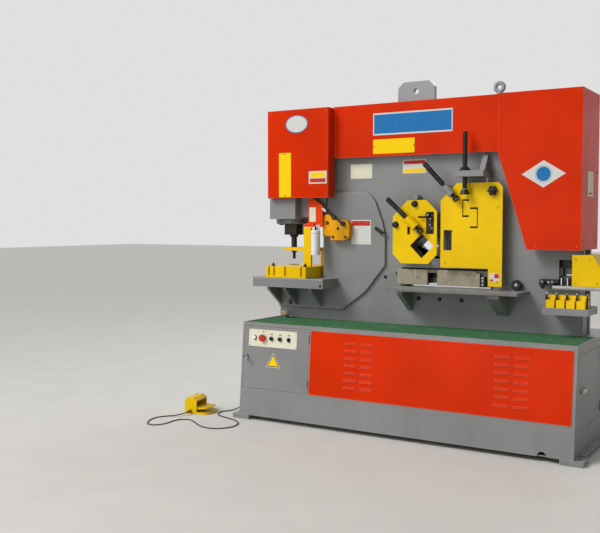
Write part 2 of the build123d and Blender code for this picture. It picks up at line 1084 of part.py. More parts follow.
def quarter_latch():
    """Quarter-turn latch: wing outside, stem through the door, cam inside."""
    wing = between(
        latch_x - latch_wing_half_width,
        latch_x + latch_wing_half_width,
        latch_v - latch_wing_half_length,
        latch_v + latch_wing_half_length,
        latch_rosette_height,
        latch_rosette_height + latch_wing_height,
    )
    wing = fillet(wing.edges().filter_by(Axis.Z), latch_wing_radius)
    rosette = post_z(latch_x, latch_v, seat_gap, latch_rosette_height, latch_rosette_radius)
    stem_end = -door_depth - latch_stem_overrun
    stem = post_z(latch_x, latch_v, stem_end, latch_rosette_height, latch_stem_radius)
    cam = between(
        latch_x - latch_cam_half_width,
        latch_x + latch_cam_half_width,
        latch_v - latch_cam_half_width,
        latch_v + latch_cam_reach,
        stem_end,
        stem_end + latch_cam_thickness,
    )
    return on_front(wing + rosette + stem + cam)


# Side door on the right end
def side_door():
    """Flat door pan over the opening in the right end."""
    pan = between(
        half_length - door_depth,
        half_length,
        side_opening_front + door_gap,
        side_opening_back - door_gap,
        side_opening_low + door_gap,
        side_opening_high - door_gap,
    )
    rim = door_gap + door_sheet
    pan -= between(
        half_length - door_depth - overcut,
        half_length - door_sheet,
        side_opening_front + rim,
        side_opening_back - rim,
        side_opening_low + rim,
        side_opening_high - rim,
    )
    pan -= post_x(
        side_latch_y,
        side_latch_z,
        half_length - door_depth,
        half_length + overcut,
        latch_stem_radius + pin_gap,
    )
    for place in side_hinge_places():
        pan += place * door_leaf()
    return pan


def side_latch():
    """Lift-and-turn handle on the side door."""
    stem_end = half_length - door_depth - latch_stem_overrun
    grip_x = half_length + latch_rosette_height
    stem = post_x(side_latch_y, side_latch_z, stem_end, grip_x, latch_stem_radius)
    rosette = post_x(side_latch_y, side_latch_z, half_length + seat_gap, grip_x, latch_rosette_radius)
    grip = between(
        grip_x,
        grip_x + side_grip_height,
        side_latch_y - side_grip_back,
        side_latch_y + side_grip_reach,
        side_latch_z - side_grip_half_width,
        side_latch_z + side_grip_half_width,
    )
    grip = fillet(grip.edges().filter_by(Axis.X), side_grip_radius)
    cam = between(
        stem_end,
        stem_end + latch_cam_thickness,
        side_latch_y - latch_cam_half_width,
        side_latch_y + latch_cam_half_width,
        side_latch_z - latch_cam_half_width,
        side_latch_z + side_cam_reach,
    )
    return stem + rosette + grip + cam


# Frame
def frame_profile():
    """Outline of one frame plate: a C round the punch throat, with windows for the shears."""
    body = outline(
        (frame_left_x, base_height),
        (frame_left_x, throat_low),
        (throat_back_x, throat_low),
        (throat_back_x, throat_top),
        (nose_x, throat_top),
        (nose_x, frame_top),
        (frame_right_x, frame_top),
        (frame_right_x, base_height),
    )
    body = rounded_corner(body, throat_back_x, throat_top, throat_corner_radius)
    body -= angle_window()
    body -= section_window()
    body -= oblong(
        plate_slot_left_x, plate_slot_right_x, plate_table_top - lower_blade_height, plate_slot_high
    )
    body -= oblong(
        notch_left_x,
        frame_right_x + overcut,
        notcher_table_top - notcher_table_thickness,
        notch_window_high,
    )
    body -= oblong(
        shear_cylinder_x - cylinder_seat_half,
        shear_cylinder_x + cylinder_seat_half,
        cylinder_seat_z,
        frame_top + overcut,
    )
    return body


def cheek_profile():
    """Outline of a cheek: it follows the throat and sweeps back to the frame below and behind it."""
    body = outline(
        (nose_x, throat_top),
        (nose_x, cheek_top),
        (cheek_shoulder_x, cheek_top),
        (cheek_knee_x, cheek_knee_z),
        (cheek_right_x, cheek_waist_high),
        (cheek_right_x, cheek_waist_low),
        (cheek_sweep_x, cheek_sweep_z),
        (cheek_foot_x, cheek_low),
        (frame_left_x, cheek_low),
        (frame_left_x, throat_low),
        (throat_back_x, throat_low),
        (throat_back_x, throat_top),
    )
    body = rounded_corner(body, throat_back_x, throat_top, throat_corner_radius)
    body = rounded_corner(body, cheek_shoulder_x, cheek_top, cheek_shoulder_radius)
    return rounded_corner(body, cheek_sweep_x, cheek_sweep_z, cheek_sweep_radius)


def throat_cheeks():
    """Raised plates that stiffen both sides of the throat."""
    profile = cheek_profile()
    front_cheek = upright(profile, cheek_front_y, frame_front_y)
    back_cheek = upright(profile, frame_back_y, cheek_back_y)
    return front_cheek, back_cheek


def spacer(x0, x1, z0, z1):
    """Bar between the two frame plates."""
    return between(x0, x1, spacer_front_y, spacer_back_y, z0, z1)


def frame_spacers():
    """Bars between the plates, guides at both ends of the slide, ties, and rails for the covers."""
    left_guide_x = slide_left_x - slide_gap
    right_guide_x = slide_right_x + slide_gap
    guide_top = slide_top + guide_top_overrun
    foot_bar_top = base_height + foot_bar_height
    foot_bar_x = (
        frame_left_x + foot_bar_inset,
        middle_bar_x,
        frame_right_x - foot_bar_inset - foot_bar_width,
    )
    bars = [
        spacer(left_guide_x - guide_bar_width, left_guide_x, slide_low - guide_low_overrun, guide_top),
        spacer(
            right_guide_x,
            right_guide_x + guide_bar_width,
            slide_arm_top + right_guide_rise,
            guide_top,
        ),
        spacer(
            throat_back_x,
            throat_back_x + throat_bar_width,
            throat_low,
            throat_top + throat_bar_overrun,
        ),
        spacer(frame_left_x, throat_back_x, nose_bar_low, throat_low),
        spacer(nose_x, nose_x + head_bar_width, throat_top + head_bar_rise, frame_top - head_bar_drop),
    ]
    bars += [post_y(x, frame_top - tie_drop, spacer_front_y, spacer_back_y, tie_radius) for x in tie_x]
    bars += [spacer(x, x + foot_bar_width, base_height, foot_bar_top) for x in foot_bar_x]
    return bars + all_cover_rails()


def all_cover_rails():
    """Rails for the three covers, clear of the notch for the shear cylinder."""
    seat_left_x = shear_cylinder_x - cylinder_seat_half
    seat_right_x = shear_cylinder_x + cylinder_seat_half
    inset = cover_rail_inset
    rails = cover_rails(nose_x + inset, head_right_x - inset, head_top, head_front_y)
    rails += cover_rails(head_right_x + inset, beam_right_x - inset, beam_top, beam_front_y)
    rails += cover_rails(beam_right_x + inset, seat_left_x - inset, column_top, column_front_y)
    rails += cover_rails(seat_right_x + inset, frame_right_x, column_top, column_front_y)
    return rails


def cover_rails(x0, x1, cover_top, front_y):
    """Bars on both frame plates that a cover's sides are screwed to."""
    top = cover_top - cover_rail_drop
    low = top - cover_rail_height
    inside_y = front_y + cover_sheet + seat_gap
    front_rail = between(x0, x1, inside_y, frame_front_y, low, top)
    back_rail = between(x0, x1, frame_back_y, mirrored_back(inside_y), low, top)
    return [front_rail, back_rail]


def lifting_gear():
    """Welded lifting lug with its eye, and the ring on the cover's top."""
    root = frame_top - lug_root_drop
    shape = outline(
        (lug_left_x, root),
        (lug_left_x, lug_top - lug_shoulder),
        (lug_left_x + lug_shoulder, lug_top),
        (lug_right_x - lug_shoulder, lug_top),
        (lug_right_x, lug_top - lug_shoulder),
        (lug_right_x, root),
    )
    shoulders = shape.vertices().filter_by_position(Axis.Y, lug_top - lug_shoulder - 1, lug_top + 1)
    shape = fillet(shoulders, lug_shoulder_radius)
    centre_x = (lug_left_x + lug_right_x) / 2
    shape -= Pos(centre_x, lug_top - lug_hole_drop) * Circle(lug_hole_radius)
    half = lug_thickness / 2
    lug = upright(shape, frame_middle_y - half, frame_middle_y + half)
    lug += spacer(lug_left_x, lug_right_x, root, root + lug_root_height)
    ring_z = beam_top + eye_ring_radius + eye_wire_radius + eye_lift
    ring = Pos(eye_x, eye_y, ring_z) * Rot(90, 0, 0) * Torus(eye_ring_radius, eye_wire_radius)
    foot = post_z(eye_x, eye_y, beam_top, beam_top + eye_foot_height, eye_foot_radius)
    return lug, ring + foot


# Covers
def folded_cover(sketch, front_y, back_y, open_sketch):
    """Sheet cover: an outer block from front to back, hollowed and open where the sketch reaches out."""
    outer = upright(sketch, front_y, back_y)
    inner = upright(open_sketch, front_y + cover_sheet, back_y - cover_sheet)
    return outer - inner


def mirrored_back(front_y):
    """Y of a cover's back, as far behind the frame's middle as its front is before it."""
    return 2 * frame_middle_y - front_y


def beam_passage(x0, x1, low, high):
    """Cut in a cover's end where the frame plates and the beam cover's space run through."""
    passage_front_y = beam_front_y + cover_lip
    return between(x0, x1, passage_front_y, mirrored_back(passage_front_y), low, high)


def punch_head_cover():
    """Box cover over the punch cylinder, open below and towards the beam."""
    sheet = cover_sheet
    outer = oblong(head_left_x, head_right_x, head_low, head_top)
    inner = oblong(head_left_x + sheet, head_right_x - sheet, head_low - overcut, head_top - sheet)
    cover = folded_cover(outer, head_front_y, mirrored_back(head_front_y), inner)
    return cover - beam_passage(
        head_right_x - 2 * sheet, head_right_x + overcut, head_low - overcut, head_top - cover_lip
    )


def beam_cover():
    """Long cover over the frame's upper beam, open below and at both ends."""
    sheet = cover_sheet
    outer = oblong(head_right_x + seat_gap, beam_right_x - seat_gap, beam_low, beam_top)
    inner = oblong(
        head_right_x - overcut, beam_right_x + overcut, beam_low - overcut, beam_top - sheet
    )
    cover = folded_cover(outer, beam_front_y, mirrored_back(beam_front_y), inner)
    half = lug_thickness / 2 + hole_gap
    lug_slot = between(
        lug_left_x - hole_gap,
        lug_right_x + hole_gap,
        frame_middle_y - half,
        frame_middle_y + half,
        beam_top - 2 * sheet,
        beam_top + overcut,
    )
    return cover - lug_slot


def column_cover():
    """Box cover over the shear cylinder, its left edge slanting in below the knee."""
    sheet = cover_sheet
    outer = outline(
        (beam_right_x, column_top),
        (column_right_x, column_top),
        (column_right_x, column_low),
        (column_slant_x, column_low),
        (beam_right_x, column_knee_z),
    )
    inner = outline(
        (beam_right_x + sheet, column_top - sheet),
        (column_right_x - sheet, column_top - sheet),
        (column_right_x - sheet, column_low - overcut),
        (column_slant_x + sheet, column_low - overcut),
        (beam_right_x + sheet, column_knee_z),
    )
    cover = folded_cover(outer, column_front_y, mirrored_back(column_front_y), inner)
    return cover - beam_passage(
        beam_right_x - overcut,
        column_slant_x + 2 * sheet,
        column_low - overcut,
        column_top - cover_lip,
    )


# Punch end
def ram_housing():
    """Guide block for the ram on the frame's nose."""
    block = between(
        housing_left_x,
        nose_x,
        housing_front_y,
        mirrored_back(housing_front_y),
        housing_low,
        housing_top,
    )
    return block - post_z(
        ram_x, frame_middle_y, housing_low - overcut, housing_top + overcut, ram_radius + pin_gap
    )


def punch_cylinder():
    """Hydraulic cylinder barrel on the guide block, with a wall at each end."""
    outer = piston_radius + cylinder_wall
    bore_low = housing_top + cylinder_foot_wall
    bore_high = cylinder_top - cylinder_head_wall
    barrel = post_z(ram_x, frame_middle_y, housing_top, cylinder_top, outer)
    barrel -= post_z(ram_x, frame_middle_y, bore_low, bore_high, piston_radius + pin_gap)
    rod_hole = post_z(
        ram_x, frame_middle_y, housing_top - overcut, bore_low + overcut, ram_radius + pin_gap
    )
    return barrel - rod_hole


def punch_ram():
    """Piston, rod and the flange below the guide block."""
    piston_high = cylinder_top - cylinder_head_wall - piston_rest_gap
    piston_low = piston_high - piston_height
    piston = post_z(ram_x, frame_middle_y, piston_low, piston_high, piston_radius)
    rod = post_z(ram_x, frame_middle_y, flange_top, piston_low, ram_radius)
    flange = post_z(ram_x, frame_middle_y, flange_low, flange_top, flange_radius)
    flange = chamfer(flange.edges().group_by(Axis.Z)[0], flange_edge)
    return piston + rod + flange


def punch_tool():
    """Coupling nut, punch and its narrower tip."""
    nut_low = flange_low - coupling_height
    tip_high = punch_tip_z + punch_tip_length
    polygon = RegularPolygon(coupling_radius, coupling_sides)
    nut = extrude(Pos(ram_x, frame_middle_y, nut_low) * polygon, coupling_height)
    shank = post_z(ram_x, frame_middle_y, tip_high, nut_low, punch_radius)
    tip = post_z(ram_x, frame_middle_y, punch_tip_z, tip_high, punch_tip_radius)
    return nut + shank + tip


def punch_table():
    """Table slab over the lower nose, with three gussets in front."""
    slab = between(table_left_x, table_right_x, table_front_y, table_back_y, table_low, table_top)
    slab = fillet(slab.edges().filter_by(Axis.Z), table_corner_radius)
    slab -= between(
        throat_back_x - seat_gap,
        table_right_x + overcut,
        cheek_front_y - seat_gap,
        cheek_back_y + seat_gap,
        table_low - overcut,
        table_top + overcut,
    )
    drop_radius = die_bore_radius + drop_hole_margin
    slab -= post_z(ram_x, frame_middle_y, table_low - overcut, table_top + overcut, drop_radius)
    for x in gusset_x:
        slab += crosswise(
            outline(
                (cheek_front_y, gusset_low),
                (cheek_front_y, table_low),
                (cheek_front_y - gusset_reach, table_low),
                (cheek_front_y - gusset_reach, table_low - gusset_nose),
            ),
            x - gusset_thickness / 2,
            x + gusset_thickness / 2,
        )
    return slab


def die_block():
    """Bolster with T-slots across its front, a seat for the die and a drop hole."""
    block = between(
        die_block_left_x,
        die_block_right_x,
        die_block_front_y,
        die_block_back_y,
        table_top,
        die_block_top,
    )
    block = fillet(block.edges().filter_by(Axis.Z), die_block_corner_radius)
    for x in t_slot_x:
        block -= between(
            x - t_slot_width / 2,
            x + t_slot_width / 2,
            die_block_front_y - overcut,
            die_block_front_y + t_slot_depth,
            table_top + t_slot_rise,
            die_block_top + overcut,
        )
    seat_low = die_block_top - die_height
    drop_radius = die_bore_radius + drop_hole_margin
    block -= post_z(ram_x, frame_middle_y, seat_low, die_block_top + overcut, die_radius + pin_gap)
    return block - post_z(ram_x, frame_middle_y, table_top - overcut, die_block_top, drop_radius)


def stripper():
    """Forked plate round the punch on two posts that stand on the bolster."""
    left = stripper_left_x
    post_left = stripper_post_x
    post_right = stripper_post_x + stripper_post_width
    arm_front = frame_middle_y - stripper_arm_front
    arm_back = frame_middle_y + stripper_arm_back
    fork = outline(
        (left, arm_front),
        (post_left, arm_front),
        (post_left, stripper_front_y),
        (post_right, stripper_front_y),
        (post_right, arm_back),
        (left, arm_back),
    )
    fork -= Pos(ram_x, frame_middle_y) * Circle(stripper_slot_radius)
    fork -= oblong(
        left - overcut,
        ram_x,
        frame_middle_y - stripper_slot_radius,
        frame_middle_y + stripper_slot_radius,
    )
    plate = extrude(Pos(0, 0, stripper_low) * fork, stripper_thickness)
    plate += between(
        post_left,
        post_right,
        stripper_front_y,
        stripper_front_y + stripper_post_depth,
        die_block_top,
        stripper_post_top,
    )
    plate += between(
        post_left,
        post_right,
        arm_back - stripper_post_depth,
        arm_back,
        die_block_top,
        stripper_low + stripper_thickness,
    )
    return plate


def stroke_plate():
    """Red bracket plate with a pointed top and a foot to the left, folded back to the cheek."""
    left = stroke_plate_left_x
    right = stroke_plate_right_x
    face = outline(
        (stroke_foot_left_x, stroke_plate_low),
        (stroke_foot_left_x, stroke_foot_high - stroke_foot_slope),
        (left, stroke_foot_high),
        (left, stroke_plate_top - stroke_plate_thickness),
        (left + stroke_plate_shoulder, stroke_plate_top),
        (right, stroke_plate_top - stroke_plate_drop),
        (right, stroke_plate_low),
    )
    plate = upright(face, stroke_plate_y, stroke_plate_y + stroke_plate_thickness)
    plate += between(
        left,
        left + stroke_plate_thickness,
        stroke_plate_y,
        cheek_front_y,
        throat_top + stroke_plate_thickness,
        stroke_plate_top - stroke_plate_thickness,
    )
    return plate


def stroke_switch():
    """White switch canister with a strap up to the stroke plate's front."""
    y = stroke_plate_y - switch_radius
    body = post_z(switch_x, y, switch_low, switch_top, switch_radius)
    body = fillet(body.edges().group_by(Axis.Z)[-1], switch_corner_radius)
    strap = between(
        switch_x - switch_strap_half,
        switch_x + switch_strap_half,
        stroke_plate_y - switch_strap_thickness,
        stroke_plate_y,
        switch_top - switch_strap_length,
        stroke_plate_low + switch_strap_half,
    )
    return body + strap


def lever_block():
    """Yellow casting on the cheek: an arched ear and a rounded block."""
    front_y = cheek_front_y - lever_block_depth
    ear_front_y = front_y + lever_ear_setback
    left = lever_block_left_x
    middle = left + lever_ear_width
    right = lever_block_right_x
    ear = oblong(left, middle, lever_ear_low, lever_block_top)
    ear = fillet(ear.vertices().group_by(Axis.Y)[-1], lever_ear_radius)
    ear -= Pos((left + middle) / 2, lever_block_top - lever_ear_hole_drop) * Circle(lever_ear_hole_radius)
    block = oblong(middle, right, lever_block_low, lever_block_mid_z)
    block = fillet(block.vertices().group_by(Axis.X)[-1], lever_block_radius)
    bridge = oblong(
        middle - lever_bridge_half, middle + lever_bridge_half, lever_bridge_low, lever_bridge_high
    )
    body = upright(block, front_y, cheek_front_y)
    body += upright(ear, ear_front_y, cheek_front_y) + upright(bridge, ear_front_y, cheek_front_y)
    return body - post_y(
        lever_pivot_x,
        lever_pivot_z,
        front_y - overcut,
        front_y + lever_pin_depth,
        lever_pin_radius + pin_gap,
    )


def stroke_lever():
    """Black lever with a thick grip, on a pivot in the lever block."""
    block_front_y = cheek_front_y - lever_block_depth
    hub_front_y = block_front_y - lever_hub_length
    arm_y = hub_front_y + lever_hub_length / 2
    hub = post_y(lever_pivot_x, lever_pivot_z, hub_front_y, block_front_y - seat_gap, lever_hub_radius)
    pin_back_y = block_front_y + lever_pin_depth
    pin = post_y(lever_pivot_x, lever_pivot_z, hub_front_y, pin_back_y, lever_pin_radius)
    run = lever_tip_x - lever_pivot_x
    rise = lever_tip_z - lever_pivot_z
    length = hypot(run, rise)
    place = Pos(lever_pivot_x, arm_y, lever_pivot_z) * Rot(0, degrees(atan2(run, rise)), 0)
    arm = place * Pos(0, 0, length / 2) * Cylinder(lever_pin_radius, length)
    grip = Pos(0, 0, length - lever_grip_length / 2) * Cylinder(lever_grip_radius, lever_grip_length)
    grip = place * fillet(grip.edges().group_by(Axis.Z)[-1], lever_pin_radius)
    return hub + pin + arm + grip


# Shear side
def channel_profile(x, width, low, high, gap, toward):
    """C-shaped channel outline: web at x, flanges towards the given side."""
    web_ends = sorted((x, x + toward * (channel_web + gap)))
    flange_ends = sorted((x, x + toward * width))
    web = oblong(web_ends[0], web_ends[1], low, high)
    lower = oblong(flange_ends[0], flange_ends[1], low, low + channel_flange + gap)
    upper = oblong(flange_ends[0], flange_ends[1], high - channel_flange - gap, high)
    return web + lower + upper


def section_openings(gap=0.0):
    """Both channel outlines, their walls wider by the gap."""
    first = channel_profile(channel_a_x, channel_a_width, channel_a_low, channel_a_high, gap, 1)
    second = channel_profile(channel_b_x, channel_b_width, channel_b_low, channel_b_high, gap, -1)
    return [first, second]


def angle_opening():
    """Square on its corner, where angle section is sheared."""
    half = angle_half_diagonal
    return outline(
        (angle_x - half, angle_z),
        (angle_x, angle_z + half),
        (angle_x + half, angle_z),
        (angle_x, angle_z - half),
    )


def bar_opening():
    """Opening for round and square bar."""
    return oblong(bar_left_x, bar_right_x, bar_low, bar_high)


def angle_window():
    """Window in the frame plates round the angle shear's tools."""
    return oblong(
        angle_x - angle_window_half,
        angle_x + angle_window_half,
        angle_z - angle_window_drop,
        angle_z + angle_window_half,
    )


def section_window():
    """Window in the frame plates round the section shear's tools."""
    return oblong(
        section_window_left_x, section_window_right_x, section_window_low, section_window_high
    )


def fixed_blades():
    """Fixed cutting tools and the hold-down over the plate shear, the punch die, the notching die."""
    angle = angle_window() - angle_opening()
    section = section_window() - bar_opening() - section_openings()
    lower = between(
        plate_slot_left_x,
        plate_slot_right_x,
        fixed_front_y,
        fixed_back_y,
        plate_table_top - lower_blade_height,
        plate_table_top,
    )
    die_low = die_block_top - die_height
    die_high = die_block_top + die_rise
    die = post_z(ram_x, frame_middle_y, die_low, die_high, die_radius)
    die -= post_z(ram_x, frame_middle_y, die_low - overcut, die_high + overcut, die_bore_radius)
    return [
        upright(angle, fixed_front_y, fixed_back_y),
        upright(section, fixed_front_y, fixed_back_y),
        lower,
        die,
        notcher_die(),
        hold_down(),
    ]


def hold_down():
    """Bar over the plate shear that keeps the plate flat, with a window to see the cut."""
    low = plate_table_top + plate_capacity
    left = plate_slot_left_x - hold_down_overlap
    right = section_guard_leg_x
    face = oblong(left, right, low, hold_down_top)
    face -= oblong(
        hold_down_window_x,
        hold_down_window_x + hold_down_window_width,
        low - overcut,
        low + hold_down_window_height,
    )
    return upright(face, frame_front_y - hold_down_thickness, frame_front_y)


def shear_slide():
    """Moving beam between the frame plates, with seats for its blades and an arm for the notch punch."""
    arm_low = notch_window_high - notch_arm_drop
    arm_left_x = notch_left_x - notch_arm_overrun
    body = outline(
        (slide_left_x, slide_low),
        (slide_left_x, slide_top),
        (slide_right_x, slide_top),
        (slide_right_x, slide_arm_top),
        (slide_arm_right_x, slide_arm_top),
        (slide_arm_right_x, arm_low),
        (arm_left_x, arm_low),
        (arm_left_x, slide_low),
    )
    body -= angle_opening()
    body -= section_openings(hole_gap)
    body -= bar_opening()
    plate = upright(body, slide_front_y, slide_back_y)
    for seat in (angle_insert(), section_insert()):
        plate -= upright(seat, slide_front_y - overcut, slide_front_y + insert_thickness)
    piston_high = shear_cylinder_top - cylinder_head_wall - piston_rest_gap
    rod = post_z(
        shear_cylinder_x,
        frame_middle_y,
        slide_top - overcut,
        piston_high - overcut,
        shear_rod_radius,
    )
    piston = post_z(
        shear_cylinder_x,
        frame_middle_y,
        piston_high - piston_height,
        piston_high,
        shear_piston_radius,
    )
    return plate + rod + piston


def angle_insert():
    """Outline of the moving angle blade's seat."""
    return oblong(
        angle_x - angle_insert_half,
        angle_x + angle_insert_half,
        angle_z - angle_insert_drop,
        angle_z + angle_insert_rise,
    )


def section_insert():
    """Outline of the moving section blade's seat."""
    return oblong(
        section_window_left_x + section_insert_left_inset,
        section_window_right_x - section_insert_right_inset,
        section_window_low + section_insert_low_inset,
        section_window_high - section_insert_high_inset,
    )


def shear_cylinder():
    """Cylinder barrel with a square seat flange on the notched frame plates."""
    half = cylinder_seat_half - cylinder_seat_gap
    flange = between(
        shear_cylinder_x - half,
        shear_cylinder_x + half,
        frame_front_y,
        frame_back_y,
        cylinder_seat_z,
        cylinder_seat_z + cylinder_seat_flange,
    )
    outer = shear_piston_radius + shear_cylinder_wall
    bore_low = cylinder_seat_z + cylinder_foot_wall
    bore_high = shear_cylinder_top - cylinder_head_wall
    barrel = post_z(shear_cylinder_x, frame_middle_y, cylinder_seat_z, shear_cylinder_top, outer)
    bore = post_z(
        shear_cylinder_x, frame_middle_y, bore_low, bore_high, shear_piston_radius + pin_gap
    )
    rod_hole = post_z(
        shear_cylinder_x,
        frame_middle_y,
        cylinder_seat_z - overcut,
        bore_low + overcut,
        shear_rod_radius + pin_gap,
    )
    return flange + barrel - bore - rod_hole


def moving_blades():
    """Moving cutting tools on the slide: angle and section blades, inclined plate blade, notch punch."""
    angle = angle_insert() - angle_opening()
    section = section_insert() - section_openings() - bar_opening()
    left = plate_slot_left_x + upper_blade_inset
    right = plate_slot_right_x - upper_blade_inset
    blade = outline(
        (left, slide_low),
        (left, slide_low - upper_blade_drop - upper_blade_rise),
        (right, slide_low - upper_blade_drop),
        (right, slide_low),
    )
    punch = between(
        notch_left_x + notch_die_wall,
        notch_die_right_x - notch_die_wall,
        frame_middle_y - notch_half_width,
        frame_middle_y + notch_half_width,
        notcher_table_top + notch_die_height + notch_gap,
        notch_window_high - notch_arm_drop,
    )
    return [
        upright(angle, slide_front_y, slide_front_y + insert_thickness),
        upright(section, slide_front_y, slide_front_y + insert_thickness),
        upright(blade, slide_front_y, slide_front_y + blade_thickness),
        punch,
    ]


def guard_posts(points):
    """Stand-off posts from the wall to the guard's back."""
    guard_back_y = guard_front_y + guard_thickness
    return [post_y(x, z, guard_back_y, frame_front_y, guard_post_radius) for x, z in points]


def along(start, slope, distance):
    """Point on a slanted screw's axis, a given distance from its outer end."""
    x, z = start
    return x + distance * cos(radians(slope)), z - distance * sin(radians(slope))


def slanted(start, slope, first, last, radius):
    """Cylinder on a slanted screw's axis between two distances."""
    x, z = along(start, slope, (first + last) / 2)
    return Pos(x, slant_y, z) * Rot(0, 90 + slope, 0) * Cylinder(radius, last - first)


def slant_boss(start, slope, length, radius, back_y):
    """Boss round a slanted screw, on a web at its outer end that reaches back to what carries it."""
    boss_start = slant_boss_end - length
    boss = slanted(start, slope, boss_start, slant_boss_end, radius)
    x, z = along(start, slope, boss_start + slant_web_length / 2)
    web = Box(slant_web_length, back_y - slant_y, radius)
    web = Pos(x, (slant_y + back_y) / 2, z) * Rot(0, slope, 0) * web
    bore = slanted(
        start, slope, boss_start - overcut, slant_boss_end + overcut, slant_screw_radius + pin_gap
    )
    return boss + web - bore


def angle_guard():
    """Eight-sided guard of the angle shear, with its posts and the clamp boss."""
    left = angle_guard_left_x
    right = angle_guard_right_x
    low = angle_guard_low
    top = angle_guard_top
    inset = guard_post_inset
    face = outline(
        (left, low + angle_guard_low_cut),
        (left, top - angle_guard_left_cut),
        (left + angle_guard_left_cut, top),
        (right - angle_guard_right_cut, top),
        (right, top - angle_guard_right_cut),
        (right, low + angle_guard_low_cut),
        (right - angle_guard_low_cut, low),
        (left + angle_guard_low_cut, low),
    )
    face -= angle_opening()
    face -= oblong(tall_slot_x - tall_slot_half, tall_slot_x + tall_slot_half, tall_slot_low, tall_slot_high)
    face -= oblong(
        small_slot_x - small_slot_half, small_slot_x + small_slot_half, small_slot_low, small_slot_high
    )
    guard = upright(face, guard_front_y, guard_front_y + guard_thickness)
    guard += guard_posts(
        (
            (left + inset, top - angle_guard_left_cut - inset),
            (left + inset, low + angle_guard_low_cut + inset),
            (right - angle_guard_right_cut - inset, top - inset),
            (right - angle_guard_low_cut - inset, low + guard_post_radius),
        )
    )
    return guard + slant_boss(
        angle_clamp_start, angle_clamp_slope, angle_boss_length, angle_boss_radius, guard_front_y
    )


def section_guard():
    """Guard of the section shear with two channel-shaped openings and a bar opening."""
    left = section_guard_left_x
    right = section_guard_right_x
    top = section_guard_top
    inset = guard_post_inset
    face = outline(
        (left, section_guard_step_z),
        (left, top - section_guard_left_cut),
        (left + section_guard_left_cut, top),
        (right - section_guard_right_cut, top),
        (right, top - section_guard_right_cut),
        (right, section_guard_low),
        (section_guard_leg_x, section_guard_low),
        (section_guard_leg_x, section_guard_step_z),
    )
    face -= section_openings(hole_gap)
    face -= bar_opening()
    face -= Pos(knob_x, knob_z) * Circle(knob_stud_radius + pin_gap)
    guard = upright(face, guard_front_y, guard_front_y + guard_thickness)
    guard += guard_posts(
        (
            (left + inset, section_guard_step_z + inset),
            (right - inset, section_guard_low + inset),
            (right - inset, channel_b_high),
            (left + section_guard_left_cut + inset, top - guard_post_radius),
        )
    )
    return guard


def guard_knob():
    """Star knob that holds the section guard, with its stud."""
    front_y = guard_front_y - knob_height
    back_y = guard_front_y - seat_gap
    body = Circle(knob_radius)
    for index in range(knob_lobes):
        angle = radians(360 * index / knob_lobes)
        body += Pos(knob_radius * cos(angle), knob_radius * sin(angle)) * Circle(knob_lobe_radius)
    star = Pos(knob_x, knob_z) * body
    head = upright(star, front_y + knob_cap_height - overcut, back_y)
    cap = post_y(knob_x, knob_z, front_y, front_y + knob_cap_height, knob_cap_radius)
    stud = post_y(knob_x, knob_z, back_y - overcut, frame_front_y - seat_gap, knob_stud_radius)
    return head + cap + stud


def shear_table():
    """Plate shear table on two brackets."""
    top = plate_table_top
    low = top - plate_table_thickness
    wall_y = frame_front_y
    slab = between(plate_table_left_x, plate_table_right_x, plate_table_front_y, wall_y, low, top)
    slab += between(plate_slot_left_x, plate_slot_right_x, wall_y - overcut, fixed_front_y, low, top)
    for x, width, reach in zip(table_bracket_x, table_bracket_width, table_bracket_reach):
        slab += crosswise(
            outline(
                (wall_y, top - table_bracket_height),
                (wall_y, top - overcut),
                (wall_y - reach, top - overcut),
                (wall_y - reach, top - table_bracket_nose),
            ),
            x,
            x + width,
        )
    return slab


def frame_bolts():
    """Cap screws on the wall and on the angle guard."""
    wall = [(x, table_bolt_z) for x in table_bolt_x] + list(wall_bolts)
    wall_head_y = frame_front_y - bolt_height
    guard_head_y = guard_front_y - guard_bolt_height
    heads = [post_y(x, z, wall_head_y, frame_front_y, bolt_radius) for x, z in wall]
    heads += [post_y(x, z, guard_head_y, guard_front_y, guard_bolt_radius) for x, z in guard_bolts]
    return heads


def screw_brackets():
    """Bracket of the upright screw with its gusset and bush, and the boss of the slanted bar screw."""
    x = section_screw_x
    y = section_screw_y
    top = bracket_low + bracket_thickness
    slab = between(
        bracket_left_x, bracket_right_x, y - bracket_reach, frame_front_y, bracket_low, top
    )
    rib = outline(
        (frame_front_y, top - overcut),
        (frame_front_y, top + bracket_rib_height),
        (frame_front_y - bracket_rib_top, top + bracket_rib_height),
        (y + bracket_reach / 2, top - overcut),
    )
    rib_right_x = bracket_right_x - bracket_rib_inset
    gusset = crosswise(rib, rib_right_x - bracket_rib_width, rib_right_x)
    bush = Pos(x, y, top + bush_height / 2) * Cone(bush_radius, bush_neck_radius, bush_height)
    bore = post_z(
        x, y, bracket_low - overcut, top + bush_height + overcut, screw_radius + pin_gap
    )
    boss = slant_boss(
        bar_clamp_start, bar_clamp_slope, bar_boss_length, bar_boss_radius, frame_front_y
    )
    return slab + gusset + bush - bore, boss


def section_screw():
    """Upright hold-down screw that ends in its foot."""
    low = section_foot_low + screw_foot_height - screw_socket_depth
    spindle = post_z(section_screw_x, section_screw_y, low, section_screw_top, screw_radius)
    return chamfer(spindle.edges().sort_by(Axis.Z)[-1], screw_chamfer)


def section_foot():
    """Flared swivel foot with a socket for the screw."""
    x = section_screw_x
    y = section_screw_y
    top = section_foot_low + screw_foot_height
    cone = Cone(screw_foot_radius, screw_neck_radius, screw_foot_height)
    foot = Pos(x, y, section_foot_low + screw_foot_height / 2) * cone
    socket_low = top - screw_socket_depth - seat_gap
    return foot - post_z(x, y, socket_low, top + overcut, screw_radius + pin_gap)


